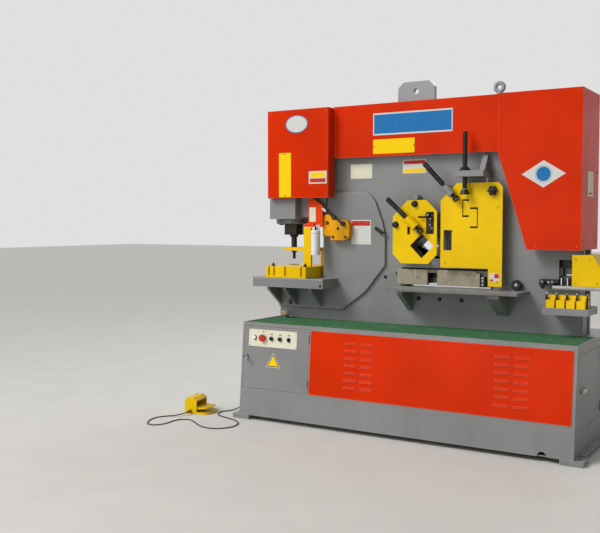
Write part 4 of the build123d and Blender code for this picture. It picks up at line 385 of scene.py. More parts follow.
class Paint(Enum):
    """Every finish on the machine."""

    # Red, grey, door and lug enamels have a pale edge colour, so their fixed edge share paints a highlight
    # line along their edges.
    RED = Enamel(
        "red_enamel", "red_paint", (208, 45, 0), 0.3, 0.06, 0.15, 0.08,
        bare_and_highlight_colour=(250, 184, 160), edge_wear_and_highlight=0.3, reflection=0.06,
    )
    ORANGE = Enamel("orange_enamel", "orange_paint", (230, 66, 12), 0.35, 0.1, edge_wear_and_highlight=0.2, reflection=0.1)
    GREY = Enamel(
        "grey_enamel", "grey_paint", (130, 131, 130), 0.42, grime=0.12,
        bare_and_highlight_colour=(182, 184, 180), edge_wear_and_highlight=0.3,
    )
    DOOR = Enamel(
        "door_enamel", "door_paint", (130, 130, 129), 0.38, grime=0.1,
        bare_and_highlight_colour=(186, 188, 188), edge_wear_and_highlight=0.5,
    )
    LUG = Enamel(
        "lug_enamel", "grey_paint", (150, 157, 159), 0.45, bare_and_highlight_colour=(196, 198, 196), edge_wear_and_highlight=0.3
    )
    YELLOW = Enamel(
        "yellow_enamel", "yellow_paint", (238, 196, 0), 0.34, 0.06, 0.5, 0.16,
        bare_and_highlight_colour=(132, 108, 50), edge_wear_and_highlight=0.05, reflection=0.1,
    )
    OLD_YELLOW = Enamel(
        "aged_yellow", "yellow_paint", (236, 166, 12), 0.5, 0.1, 0.9, 0.6,
        grime_colour=(66, 40, 16), bare_and_highlight_colour=(70, 46, 20), grime_height=3.0, reflection=0.12,
    )
    MOTOR = Enamel("motor_enamel", "motor_paint", (92, 112, 132), gloss=0.4)
    MAT = Moulding(
        "green_rubber", "mat_green", (54, 104, 64), gloss=0.75, depth=0.0003, fade=0.25, reflection=0.2
    )
    TOOL = Steel("machined_tool_steel", "tool_steel", (112, 109, 105), shine=0.45, metal=0.6)
    DARK_TOOL = Steel("dark_tool_steel", "tool_steel", (64, 56, 54), shine=0.4, metal=0.8)
    GROUND = Steel("ground_steel", "bright_steel", (118, 121, 118), shine=0.42, metal=0.5)
    TAN = Steel("tarnished_steel", "tool_steel", (168, 158, 134), shine=0.55, metal=0.25, stain=0.3)
    PALE = Steel("rubbed_steel", "bright_steel", (186, 186, 180), shine=0.38, metal=0.7, stain=0.25)
    BLACK = Steel("blackened_steel", "black_steel", (40, 39, 38), shine=0.42, metal=0.6, stain=0.2)
    BRIGHT = Steel("polished_steel", "bright_steel", (190, 190, 190), shine=0.24, stain=0.15)
    CHROME = Steel("chromed_steel", "chrome_part", (214, 214, 216), shine=0.12, stain=0.08)
    CREAM = Moulding("cream_card", "cream_plate", (214, 212, 190), gloss=0.7, fade=0.12, reflection=0.1)
    RED_KNOB = Moulding("red_plastic", "button_red", (190, 40, 24), gloss=0.4, fade=0.05, reflection=0.2)
    BLACK_KNOB = Moulding("black_plastic", "button_black", (26, 26, 27), gloss=0.4, fade=0.1, reflection=0.2)
    # Near-black plastic and print, also used as painted shade inside the angle guard's slots.
    DARK = Moulding("dark_plastic_and_painted_shade", "button_black", (24, 22, 20), gloss=0.6, fade=0.15, reflection=0.15)
    WHITE = Moulding("white_print", "cream_plate", (204, 204, 198), gloss=0.75, fade=0.1, reflection=0.1)
    RED_PRINT = Moulding("red_print", "button_red", (184, 48, 40), gloss=0.7, fade=0.2, reflection=0.1)
    GOLD = Moulding("yellow_print", "yellow_paint", (240, 200, 0), gloss=0.65, fade=0.06, reflection=0.1)
    BLUE = Moulding("blue_print", "motor_paint", (34, 110, 170), gloss=0.6, fade=0.06, reflection=0.1)
    RUST_CAP = Moulding(
        "aged_cap", "cream_plate", (176, 152, 122), gloss=0.6, fade=0.5, fade_colour=(104, 70, 52)
    )
    LENS = Moulding("lamp_lens", "white_can", (232, 232, 220), gloss=0.2, grain=60.0, fade=0.05)
    WHITE_CAN = Moulding("white_plastic", "white_can", (220, 220, 216), gloss=0.4, fade=0.15)
    GEAR = Moulding("switchgear_plastic", "switchgear", (196, 196, 188), gloss=0.5)
    CORD = Moulding("cord_sheath", "cord_black", (62, 48, 34), gloss=0.55, grain=900.0, fade=0.25)

    def material(self) -> bpy.types.Material:
        """The material, made once."""
        return bpy.data.materials.get(self.value.name) or self.value.build()


# Modelling kit
class Piece:
    """One new piece: bmesh shapes gathered in a single mesh that rides on a body."""

    def __init__(self, name: str, body: str, *paints: Paint) -> None:
        """Start an empty piece.

        Args:
            name: Name of the piece.
            body: Body it moves with.
            paints: Its finishes, the first one as the default.
        """
        self.name = name
        self.body = body
        self.paints = paints
        self.mesh = bmesh.new()
        self.done = self.mesh.faces.layers.int.new("done")

    def _added(self) -> list[bmesh.types.BMFace]:
        """Faces of the shape that is being added."""
        return [face for face in self.mesh.faces if not face[self.done]]

    def _close(self, paint: int, place: Matrix | None) -> None:
        """Give the added shape its finish, and put it in place.

        Args:
            paint: Number of its finish.
            place: Matrix that puts it in place, if any.
        """
        faces = self._added()
        for face in faces:
            face.material_index = paint
            face[self.done] = 1
        if place is not None:
            corners = list({corner for face in faces for corner in face.verts})
            bmesh.ops.transform(self.mesh, matrix=place, verts=corners)

    def _round(self, width: float, segments: int, least: float = 0.6) -> None:
        """Bevel the sharp edges of the added shape.

        Args:
            width: Width of the rounded edges.
            segments: Segments of the rounded edges.
            least: Smallest angle of an edge that is rounded, in radians.
        """
        if width <= 0:
            return
        edges = {edge for face in self._added() for edge in face.edges}
        sharp = [e for e in edges if e.is_manifold and e.calc_face_angle(0.0) > least]
        bmesh.ops.bevel(
            self.mesh,
            geom=sharp,
            offset=width,
            segments=segments,
            profile=0.5,
            affect="EDGES",
            material=-1,
            clamp_overlap=True,
        )

    def block(
        self,
        low: Triple,
        high: Triple,
        rounding: float = 0.001,
        paint: int = 0,
        place: Matrix | None = None,
        segments: int = 2,
    ) -> None:
        """Box between two corners with rounded edges.

        Args:
            low: Lowest corner.
            high: Highest corner.
            rounding: Width of the rounded edges.
            paint: Number of its finish.
            place: Matrix that puts it in place afterwards.
            segments: Segments of the rounded edges.
        """
        size = [b - a for a, b in zip(low, high)]
        middle = [(a + b) / 2 for a, b in zip(low, high)]
        shape = Matrix.Translation(middle) @ Matrix.Diagonal((*size, 1.0))
        bmesh.ops.create_cube(self.mesh, size=1.0, matrix=shape)
        self._round(rounding, segments)
        self._close(paint, place)

    def rod(
        self,
        start: Triple,
        end: Triple,
        radius: float,
        end_radius: float | None = None,
        rounding: float = 0.0008,
        paint: int = 0,
        sides: int = 24,
        place: Matrix | None = None,
    ) -> None:
        """Cylinder or cone between two points; six sides make a nut.

        Args:
            start: Middle of the first end.
            end: Middle of the other end.
            radius: Radius at the first end.
            end_radius: Radius at the other end, where it differs.
            rounding: Width of the rounded rims.
            paint: Number of its finish.
            sides: Sides round it.
            place: Matrix that puts it in place afterwards.
        """
        run = Vector(end) - Vector(start)
        turn = run.to_track_quat("Z", "Y").to_matrix().to_4x4()
        shape = Matrix.Translation((Vector(start) + Vector(end)) / 2) @ turn
        bmesh.ops.create_cone(
            self.mesh,
            cap_ends=True,
            segments=sides,
            radius1=radius,
            radius2=radius if end_radius is None else end_radius,
            depth=run.length,
            matrix=shape,
        )
        self._round(rounding, 2, 0.9)
        self._close(paint, place)

    def ring(
        self,
        centre: Triple,
        axis: Triple,
        radius: float,
        wire: float,
        paint: int = 0,
        sides: int = 32,
        place: Matrix | None = None,
    ) -> None:
        """Torus round an axis.

        Args:
            centre: Middle of the ring.
            axis: Direction it turns about.
            radius: Radius to the middle of the wire.
            wire: Radius of the wire.
            paint: Number of its finish.
            sides: Steps round the ring.
            place: Matrix that puts it in place afterwards.
        """
        spot = Vector(centre)
        turn = Vector(axis).to_track_quat("Z", "Y").to_matrix().to_4x4()
        section = Matrix.Translation(spot) @ turn @ Matrix.Translation((radius, 0, 0))
        section = section @ Matrix.Rotation(math.pi / 2, 4, "X")
        made = bmesh.ops.create_circle(self.mesh, segments=10, radius=wire, matrix=section)
        rim = {edge for corner in made["verts"] for edge in corner.link_edges}
        bmesh.ops.spin(
            self.mesh,
            geom=made["verts"] + list(rim),
            cent=spot,
            axis=Vector(axis),
            angle=2 * math.pi,
            steps=sides,
            use_merge=True,
        )
        bmesh.ops.recalc_face_normals(self.mesh, faces=self._added())
        self._close(paint, place)

    def bead(self, points: list[Triple], radius: float = 0.004, paint: int = 0, pitch: float = 0.006) -> None:
        """Rippled weld bead along straight runs.

        Args:
            points: Corners of the run.
            radius: Half width of the bead.
            paint: Number of its finish.
            pitch: Distance between its ripples.
        """
        for start, end in zip(points, points[1:]):
            run = Vector(end) - Vector(start)
            turn = run.to_track_quat("Z", "Y").to_matrix().to_4x4()
            steps = max(2, round(run.length / pitch)) * 2
            shape = Matrix.Translation(start) @ turn
            made = bmesh.ops.create_circle(
                self.mesh, segments=6, radius=radius * 0.8, matrix=shape, cap_ends=True
            )
            loop = list({edge for corner in made["verts"] for edge in corner.link_edges})
            for step in range(1, steps + 1):
                grown = bmesh.ops.extrude_edge_only(self.mesh, edges=loop)["geom"]
                corners = [item for item in grown if isinstance(item, bmesh.types.BMVert)]
                loop = [item for item in grown if isinstance(item, bmesh.types.BMEdge)]
                bmesh.ops.translate(self.mesh, vec=run / steps, verts=corners)
                size = 1.25 if step % 2 else 0.8
                middle = Vector(start) + run * (step / steps)
                bmesh.ops.scale(
                    self.mesh, vec=(size, size, size), verts=corners, space=Matrix.Translation(-middle)
                )
            bmesh.ops.holes_fill(self.mesh, edges=loop, sides=6)
            bmesh.ops.recalc_face_normals(self.mesh, faces=self._added())
            self._close(paint, None)

    def turned(
        self,
        profile: tuple[Pair, ...],
        start: Triple,
        axis: Triple,
        paint: int = 0,
        sides: int = 24,
        place: Matrix | None = None,
    ) -> None:
        """Shape turned about an axis, closed at both ends.

        Args:
            profile: Radius and distance along the axis of each step, from one end to the other.
            start: Point where the distance is zero.
            axis: Direction of the axis.
            paint: Number of its finish.
            sides: Sides round it.
            place: Matrix that puts it in place afterwards.
        """
        way = Vector(axis).normalized()
        turn = way.to_track_quat("Z", "Y").to_matrix().to_4x4()
        radius, along = profile[0]
        made = bmesh.ops.create_circle(
            self.mesh,
            segments=sides,
            radius=radius,
            matrix=Matrix.Translation(Vector(start) + way * along) @ turn,
            cap_ends=True,
        )
        loop = list({edge for corner in made["verts"] for edge in corner.link_edges})
        for next_radius, next_along in profile[1:]:
            grown = bmesh.ops.extrude_edge_only(self.mesh, edges=loop)["geom"]
            corners = [item for item in grown if isinstance(item, bmesh.types.BMVert)]
            loop = [item for item in grown if isinstance(item, bmesh.types.BMEdge)]
            centre = Vector(start) + way * along
            size = next_radius / radius
            bmesh.ops.scale(
                self.mesh, vec=(size, size, size), verts=corners, space=Matrix.Translation(-centre)
            )
            bmesh.ops.translate(self.mesh, vec=way * (next_along - along), verts=corners)
            radius, along = next_radius, next_along
        bmesh.ops.holes_fill(self.mesh, edges=loop, sides=sides)
        bmesh.ops.recalc_face_normals(self.mesh, faces=self._added())
        self._close(paint, place)

    def thread(
        self,
        start: Triple,
        end: Triple,
        radius: float,
        pitch: float = 0.006,
        depth: float = 0.0012,
        paint: int = 0,
    ) -> None:
        """Ridges of a screw thread between two points.

        Args:
            start: Point on the axis at the first end.
            end: Point on the axis at the other end.
            radius: Radius at the root of the thread.
            pitch: Distance between its ridges.
            depth: Height of a ridge.
            paint: Number of its finish.
        """
        run = Vector(end) - Vector(start)
        turns = max(1, round(run.length / pitch))
        step = run.length / turns
        profile = [(radius, 0.0)]
        for index in range(turns):
            profile += [(radius + depth, (index + 0.5) * step), (radius, (index + 1) * step)]
        self.turned(tuple(profile), start, tuple(run), paint, 18)

    def screw(
        self,
        spot: Triple,
        axis: Triple,
        radius: float = 0.006,
        height: float = 0.004,
        paint: int = 0,
        place: Matrix | None = None,
    ) -> None:
        """Cap screw's head with a chamfered rim and a sunk socket.

        Args:
            spot: Middle of the seat.
            axis: Direction out of the surface.
            radius: Radius of the head.
            height: Height of the head.
            paint: Number of its finish.
            place: Matrix that puts it in place afterwards.
        """
        profile = (
            (radius * 0.48, height * 0.45),
            (radius * 0.5, height),
            (radius * 0.88, height),
            (radius, height * 0.82),
            (radius, 0.0),
        )
        self.turned(profile, spot, axis, paint, 18, place)

    def finish(self, smooth: float = 0.7) -> bpy.types.Object:
        """Make the object, dress it and let it ride.

        Args:
            smooth: Largest angle between faces that still shades smoothly, in radians.

        Returns:
            The object.
        """
        data = bpy.data.meshes.new(self.name)
        self.mesh.faces.layers.int.remove(self.done)
        for edge in self.mesh.edges:
            edge.smooth = edge.is_manifold and edge.calc_face_angle(0.0) < smooth
        for face in self.mesh.faces:
            face.smooth = True
        self.mesh.to_mesh(data)
        self.mesh.free()
        made = bpy.data.objects.new(self.name, data)
        bpy.context.scene.collection.objects.link(made)
        for paint in self.paints:
            data.materials.append(paint.material())
        normals = made.modifiers.new("normals", "WEIGHTED_NORMAL")
        normals.keep_sharp = True
        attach(made, self.body)
        return made


@dataclass
class Dressing:
    """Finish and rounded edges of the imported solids."""

    finishes: dict[Paint, tuple[str, ...]]
    roundings: dict[float, tuple[str, ...]]
    usual_rounding: float = 0.0012

    def apply(self) -> None:
        """Dress every node."""
        for paint, names in self.finishes.items():
            for name in names:
                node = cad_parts[name]
                node.data.materials.clear()
                node.data.materials.append(paint.material())
                self.soften(node)

    def soften(self, node: bpy.types.Object) -> None:
        """Round a node's edges with modifiers that leave its mesh alone.

        Args:
            node: The node's object.
        """
        width = self.usual_rounding
        for rounding, names in self.roundings.items():
            if node.name in names:
                width = rounding
        if width <= 0:
            return
        weld = node.modifiers.new("weld", "WELD")
        weld.merge_threshold = 0.00001
        flat = node.modifiers.new("flat", "DECIMATE")
        flat.decimate_type = "DISSOLVE"
        flat.angle_limit = math.radians(0.5)
        bevel = node.modifiers.new("edge", "BEVEL")
        bevel.width = width
        bevel.segments = 2
        bevel.limit_method = "ANGLE"
        bevel.angle_limit = math.radians(35)
        bevel.use_clamp_overlap = True
        normals = node.modifiers.new("normals", "WEIGHTED_NORMAL")
        normals.keep_sharp = True


def usual_dressing() -> Dressing:
    """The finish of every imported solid."""
    return Dressing(
        finishes={
            Paint.RED: ("louvre_panel", "punch_head_cover", "beam_cover", "column_cover"),
            Paint.ORANGE: ("stroke_plate",),
            Paint.GREY: (
                "base_cabinet", "foot_plates", "front_frame_plate", "rear_frame_plate", "frame_spacers",
                "throat_cheeks", "ram_housing", "punch_table", "shear_table", "screw_brackets",
                "notcher_table", "oil_tank", "side_door",
            ),
            Paint.LUG: ("lifting_gear",),
            Paint.DOOR: ("cabinet_door",),
            Paint.YELLOW: (
                "die_block", "stripper", "angle_guard", "section_guard", "notcher_gauges",
                "notcher_guard", "foot_switch_base", "foot_pedal",
            ),
            Paint.OLD_YELLOW: ("lever_block",),
            Paint.MOTOR: ("motor_housing",),
            Paint.MAT: ("work_mat",),
            Paint.TOOL: ("fixed_blades", "moving_blades"),
            Paint.DARK_TOOL: ("punch_tool",),
            Paint.GROUND: ("punch_ram",),
            Paint.BLACK: (
                "punch_cylinder", "frame_bolts", "shear_cylinder", "hydraulic_pump", "section_screw",
                "section_foot", "angle_screw", "angle_foot", "bar_screw", "bar_foot", "stroke_lever",
                "shear_slide",
            ),
            Paint.BRIGHT: ("hydraulic_pipes", "motor_rotor"),
            Paint.CHROME: ("door_latch", "side_latch"),
            Paint.CREAM: ("control_plate",),
            Paint.RED_KNOB: ("estop_button",),
            Paint.BLACK_KNOB: ("start_button", "stop_button", "mode_selector", "guard_knob"),
            Paint.WHITE_CAN: ("stroke_switch",),
            Paint.GEAR: ("electrical_panel",),
        },
        roundings={
            0.004: ("punch_head_cover", "beam_cover", "column_cover"),
            0.003: ("punch_table", "die_block", "ram_housing", "throat_cheeks", "lever_block"),
            0.002: ("angle_guard", "section_guard", "lifting_gear"),
        },
    )


# Places on the machine
OUT = (0.0, 0.0, 1.0)
FRONT_SETBACK = 0.064
FRONT_RISE = 0.715
FRONT_FOOT = (0.0, -0.575, 0.037)
LEAN = math.atan2(FRONT_SETBACK, FRONT_RISE)
FRONT = Matrix.Translation(FRONT_FOOT) @ Matrix.Rotation(math.pi / 2 - LEAN, 4, "X")
WALL_Y = 0.025
CHEEK_Y = 0.003
GUARD_Y = -0.065
SCREW_Y = -0.106
HEAD_Y = -0.125
BEAM_Y = -0.037
COLUMN_Y = -0.105
SIDE_X = 1.21


def wall(y: float) -> Matrix:
    """Upright plane that faces the operator: across, up and out of it.

    Args:
        y: Where the plane stands.

    Returns:
        The matrix from the plane's own directions.
    """
    return Matrix.Translation((0.0, y, 0.0)) @ Matrix.Rotation(math.pi / 2, 4, "X")


def flank(x: float) -> Matrix:
    """Upright plane that faces the machine's right end.

    Args:
        x: Where the plane stands.

    Returns:
        The matrix from the plane's own directions.
    """
    return Matrix(((0, 0, 1, x), (1, 0, 0, 0), (0, 1, 0, 0), (0, 0, 0, 1)))


def slanted(start: Pair, slope: float, distance: float) -> Triple:
    """Point on a slanted clamp screw.

    Args:
        start: X and Z of its outer end.
        slope: Slope in degrees.
        distance: Distance from the outer end.

    Returns:
        The point.
    """
    angle = math.radians(slope)
    return (start[0] + distance * math.cos(angle), SCREW_Y, start[1] - distance * math.sin(angle))


def circle(centre: Pair, radius: float, count: int, first: float = 0.0) -> list[Pair]:
    """Points spread evenly round a circle.

    Args:
        centre: Middle of the circle.
        radius: Radius of the circle.
        count: Number of points.
        first: Angle of the first point in degrees.

    Returns:
        The points.
    """
    angles = [math.radians(360 / count * index + first) for index in range(count)]
    return [(centre[0] + radius * math.cos(a), centre[1] + radius * math.sin(a)) for a in angles]


# Plates
@dataclass(frozen=True)
class Plate:
    """Bare plate or label: its outline on a plane, plain bands on it and its fixing screws."""

    name: str
    place: Matrix
    low: Pair
    high: Pair
    paints: tuple[Paint, ...]
    bands: tuple[tuple[float, float, float, float, int], ...] = ()
    screws: tuple[Pair, ...] = ()
    thickness: float = 0.0012
    body: str = "machine"

    def spot(self, across: float, up: float) -> Pair:
        """Point of the plate.

        Args:
            across: Share of the width.
            up: Share of the height.

        Returns:
            The point on the plate's plane.
        """
        return (
            self.low[0] + (self.high[0] - self.low[0]) * across,
            self.low[1] + (self.high[1] - self.low[1]) * up,
        )

    def build(self) -> None:
        """Make the plate."""
        piece = Piece(self.name, self.body, *self.paints)
        top = self.thickness
        piece.block((*self.low, 0.0), (*self.high, top), 0.0005, place=self.place)
        for left, low, right, high, paint in self.bands:
            piece.block(
                (*self.spot(left, low), top - 0.0002),
                (*self.spot(right, high), top + 0.0003),
                0.0002,
                paint,
                self.place,
                1,
            )
        for across, up in self.screws:
            piece.screw((*self.spot(across, up), top), OUT, 0.0045, 0.0022, len(self.paints) - 1, self.place)
        piece.finish()


@dataclass
class Labels:
    """Nameplates, badges and labels, all left bare."""

    rim: float = 0.04

    def plates(self) -> list[Plate]:
        """Every rectangular plate."""
        head, beam, right, back = wall(HEAD_Y), wall(BEAM_Y), flank(SIDE_X), wall(WALL_Y)
        edge = self.rim
        notice = (Paint.WHITE, Paint.RED_PRINT, Paint.GOLD)
        corners = ((0.012, 0.06), (0.988, 0.06), (0.012, 0.94), (0.988, 0.94))
        return [
            Plate(
                "head_plate", head, (-1.215, 1.752), (-1.100, 2.110), (Paint.GOLD, Paint.DARK),
                screws=((0.5, 0.03), (0.5, 0.97)),
            ),
            Plate(
                "head_notice", head, (-0.930, 1.855), (-0.765, 1.955), notice,
                bands=((0.06, 0.1, 0.94, 0.42, 1), (0.1, 0.5, 0.9, 0.9, 2)),
            ),
            Plate(
                "beam_nameplate", beam, (-0.400, 2.218), (0.255, 2.388),
                (Paint.WHITE, Paint.BLUE, Paint.PALE),
                bands=((0.014, 0.07, 0.986, 0.93, 1),), screws=corners, thickness=0.002,
            ),
            Plate(
                "beam_plate", beam, (-0.400, 2.076), (-0.050, 2.187), (Paint.GOLD, Paint.DARK),
                screws=((0.02, 0.5), (0.98, 0.5)),
            ),
            Plate(
                "wall_notice", back, (-0.174, 1.921), (0.018, 2.026), notice,
                bands=((edge, 0.68, 1 - edge, 0.94, 1), (edge, 0.06, 1 - edge, 0.34, 2)),
            ),
            Plate("wall_card", back, (-0.630, 1.892), (-0.438, 2.006), (Paint.CREAM,)),
            Plate(
                "cheek_notice", wall(CHEEK_Y), (-0.610, 1.372), (-0.436, 1.566), notice,
                bands=((edge, 0.76, 1 - edge, 0.96, 1),),
            ),
            Plate("bracket_label", wall(-0.06), (-0.963, 1.552), (-0.904, 1.668), (Paint.CREAM,)),
            Plate(
                "guard_notice", wall(GUARD_Y), (0.556, 1.118), (0.632, 1.180), notice,
                bands=((0.5, 0.45, 0.94, 0.94, 1), (0.06, 0.08, 0.4, 0.3, 1)),
            ),
            Plate(
                "column_strip", right, (0.053, 1.726), (0.209, 1.900), (Paint.CREAM, Paint.RED_PRINT),
                bands=((0.2, 0.1, 0.8, 0.16, 1),),
            ),
        ]

    def build(self) -> None:
        """Make the plates, the oval badge and the diamond."""
        for plate in self.plates():
            plate.build()
        self.badge()
        self.diamond()

    def badge(self) -> None:
        """Oval badge with a blue rim."""
        centre = (-1.045, 2.337)
        piece = Piece("head_badge", "machine", Paint.BLUE, Paint.WHITE)
        squash = Matrix.Translation((*centre, 0.0)) @ Matrix.Diagonal((1.0, 0.67, 1.0, 1.0))
        for radius, top, paint in ((0.107, 0.0014, 0), (0.098, 0.0018, 1)):
            piece.rod((0, 0, 0), (0, 0, top), radius, None, 0.0003, paint, 48, wall(HEAD_Y) @ squash)
        piece.finish()

    def diamond(self) -> None:
        """Diamond badge with a plain round field."""
        place = wall(COLUMN_Y) @ Matrix.Translation((0.949, 1.881, 0.0))
        piece = Piece("column_diamond", "machine", Paint.WHITE, Paint.BLUE)
        wide = place @ Matrix.Diagonal((0.1525, 0.094, 1.0, 1.0))
        piece.rod((0, 0, 0), (0, 0, 0.0014), 1.0, None, 0.0, 0, 4, wide)
        piece.rod((0, 0, 0), (0, 0, 0.0018), 0.050, None, 0.0003, 1, 40, place)
        piece.ring((0, 0, 0.0018), OUT, 0.058, 0.0009, 1, 40, place)
        piece.finish()


@dataclass
class Covers:
    """Screws and lap strips of the red covers."""

    screw_radius: float = 0.007
    screw_height: float = 0.0035

    def build(self) -> None:
        """Make the screws and the lap strips."""
        self.screws()
        self.laps()

    def screws(self) -> None:
        """Button-head screws along the covers' edges, painted over."""
        piece = Piece("cover_screws", "machine", Paint.RED)
        rows = (
            (HEAD_Y, -1.300, -0.778, 1.768),
            (HEAD_Y, -1.300, -0.778, 2.430),
            (COLUMN_Y, 0.900, 1.184, 1.378),
            (COLUMN_Y, 0.660, 1.184, 2.432),
        )
        for y, left, right, z in rows:
            for x in (left, right):
                piece.screw((x, z, 0.0), OUT, self.screw_radius, self.screw_height, 0, wall(y))
        for z in (1.42, 1.90, 2.40):
            for y in (-0.07, 0.33):
                piece.screw((y, z, 0.0), OUT, self.screw_radius, self.screw_height, 0, flank(SIDE_X))
        piece.finish()

    def laps(self) -> None:
        """Thin lap strips where one cover's sheet goes over its neighbour's."""
        piece = Piece("cover_laps", "machine", Paint.RED)
        for left, right in ((-0.7510, -0.7330), (0.6030, 0.6200)):
            piece.block((left, -0.0395, 2.060), (right, -0.0365, 2.452), 0.0008)
        piece.finish()


@dataclass
class PunchEnd:
    """Fittings round the punch."""

    ram_x: float = -1.23
    ram_y: float = 0.132

    def build(self) -> None:
        """Make the fittings."""
        self.coupling()
        self.switch()
        self.lever()
        self.table()
        self.cheek()

    def coupling(self) -> None:
        """Screws of the ram's flange, the punch nut's rings and the punch's collar."""
        piece = Piece("coupling_screws", "punch_ram", Paint.BLACK, Paint.DARK_TOOL)
        for spot in circle((self.ram_x, self.ram_y), 0.118, 8, 22.5):
            piece.screw((*spot, 1.5327), (0, 0, -1), 0.011, 0.009)
        for z in (1.4505, 1.4970):
            piece.ring((self.ram_x, self.ram_y, z), (0, 0, 1), 0.080, 0.0022, 1, 40)
        piece.turned(
            ((0.0245, 0.0), (0.034, 0.001), (0.036, 0.004), (0.036, 0.016), (0.0245, 0.020)),
            (self.ram_x, self.ram_y, 1.4427), (0, 0, -1), 1, 32,
        )
        piece.finish()

    def switch(self) -> None:
        """Cable, ribs and strap screws of the stroke switch."""
        x, y = -0.883, -0.097
        piece = Piece("switch_cable", "machine", Paint.DARK, Paint.PALE, Paint.CREAM)
        piece.turned(((0.009, 0.0), (0.009, 0.010), (0.0055, 0.026)), (x, y, 1.485), (0, 0, 1), 0, 18)
        path = [(x, y, 1.508), (x - 0.010, y + 0.004, 1.526), (x - 0.030, y + 0.020, 1.536)]
        piece.bead(path, 0.0042, 0, 0.002)
        for z in (1.310, 1.460):
            piece.ring((x, y, z), (0, 0, 1), 0.0372, 0.0016, 1, 40)
        for z in (1.520, 1.4965):
            piece.screw((x, z, 0.0), OUT, 0.006, 0.004, 1, wall(-0.066))
        piece.rod((-0.852, -0.050, 1.662), (-0.811, -0.050, 1.633), 0.011, paint=2)
        piece.finish()

    def lever(self) -> None:
        """Stroke rod with its nuts, between the cover and the lever."""
        top, low = (-0.7795, -0.082, 1.742), (-0.7975, -0.082, 1.655)
        piece = Piece("stroke_rod", "machine", Paint.BLACK)
        piece.rod(top, low, 0.0045)
        piece.thread((-0.7815, -0.082, 1.732), (-0.7895, -0.082, 1.694), 0.0046, 0.002, 0.0006)
        piece.rod((-0.7900, -0.082, 1.692), (-0.7920, -0.082, 1.682), 0.009, sides=6)
        piece.finish()
        screws = Piece("lever_screws", "machine", Paint.BLACK)
        for x, z in ((-0.745, 1.430), (-0.632, 1.430), (-0.700, 1.498)):
            screws.screw((x, z, 0.0), OUT, 0.010, 0.007, 0, wall(-0.057))
        screws.finish()

    def table(self) -> None:
        """Clamp studs in the bolster's slots and the scale along the table's edge."""
        piece = Piece("bolster_studs", "machine", Paint.BLACK, Paint.PALE)
        for x in (-1.255, -0.948):
            piece.rod((x, -0.150, 1.180), (x, -0.150, 1.216), 0.007, paint=0)
            piece.rod((x, -0.150, 1.190), (x, -0.150, 1.202), 0.015, sides=6, paint=0)
            piece.thread((x, -0.150, 1.202), (x, -0.150, 1.215), 0.0070, 0.002, 0.0005)
        piece.block((-1.400, -0.2256, 1.0900), (-0.752, -0.2245, 1.0965), 0.0003, 1)
        piece.screw((-0.7650, 1.044, 0.0), OUT, 0.010, 0.004, 0, wall(-0.225))
        piece.finish()

    def cheek(self) -> None:
        """Grease fitting on the cheek's edge and the socket screw on the wall."""
        piece = Piece("cheek_fitting", "machine", Paint.BLACK, Paint.BRIGHT)
        piece.rod((-0.392, -0.009, 1.503), (-0.334, -0.009, 1.464), 0.0125)
        piece.rod((-0.334, -0.009, 1.464), (-0.322, -0.009, 1.456), 0.016, sides=6)
        piece.rod((-0.322, -0.009, 1.456), (-0.310, -0.009, 1.448), 0.006, 0.004, paint=1)
        piece.screw((-0.318, 1.122, 0.0), OUT, 0.012, 0.010, 0, wall(WALL_Y))
        piece.finish()


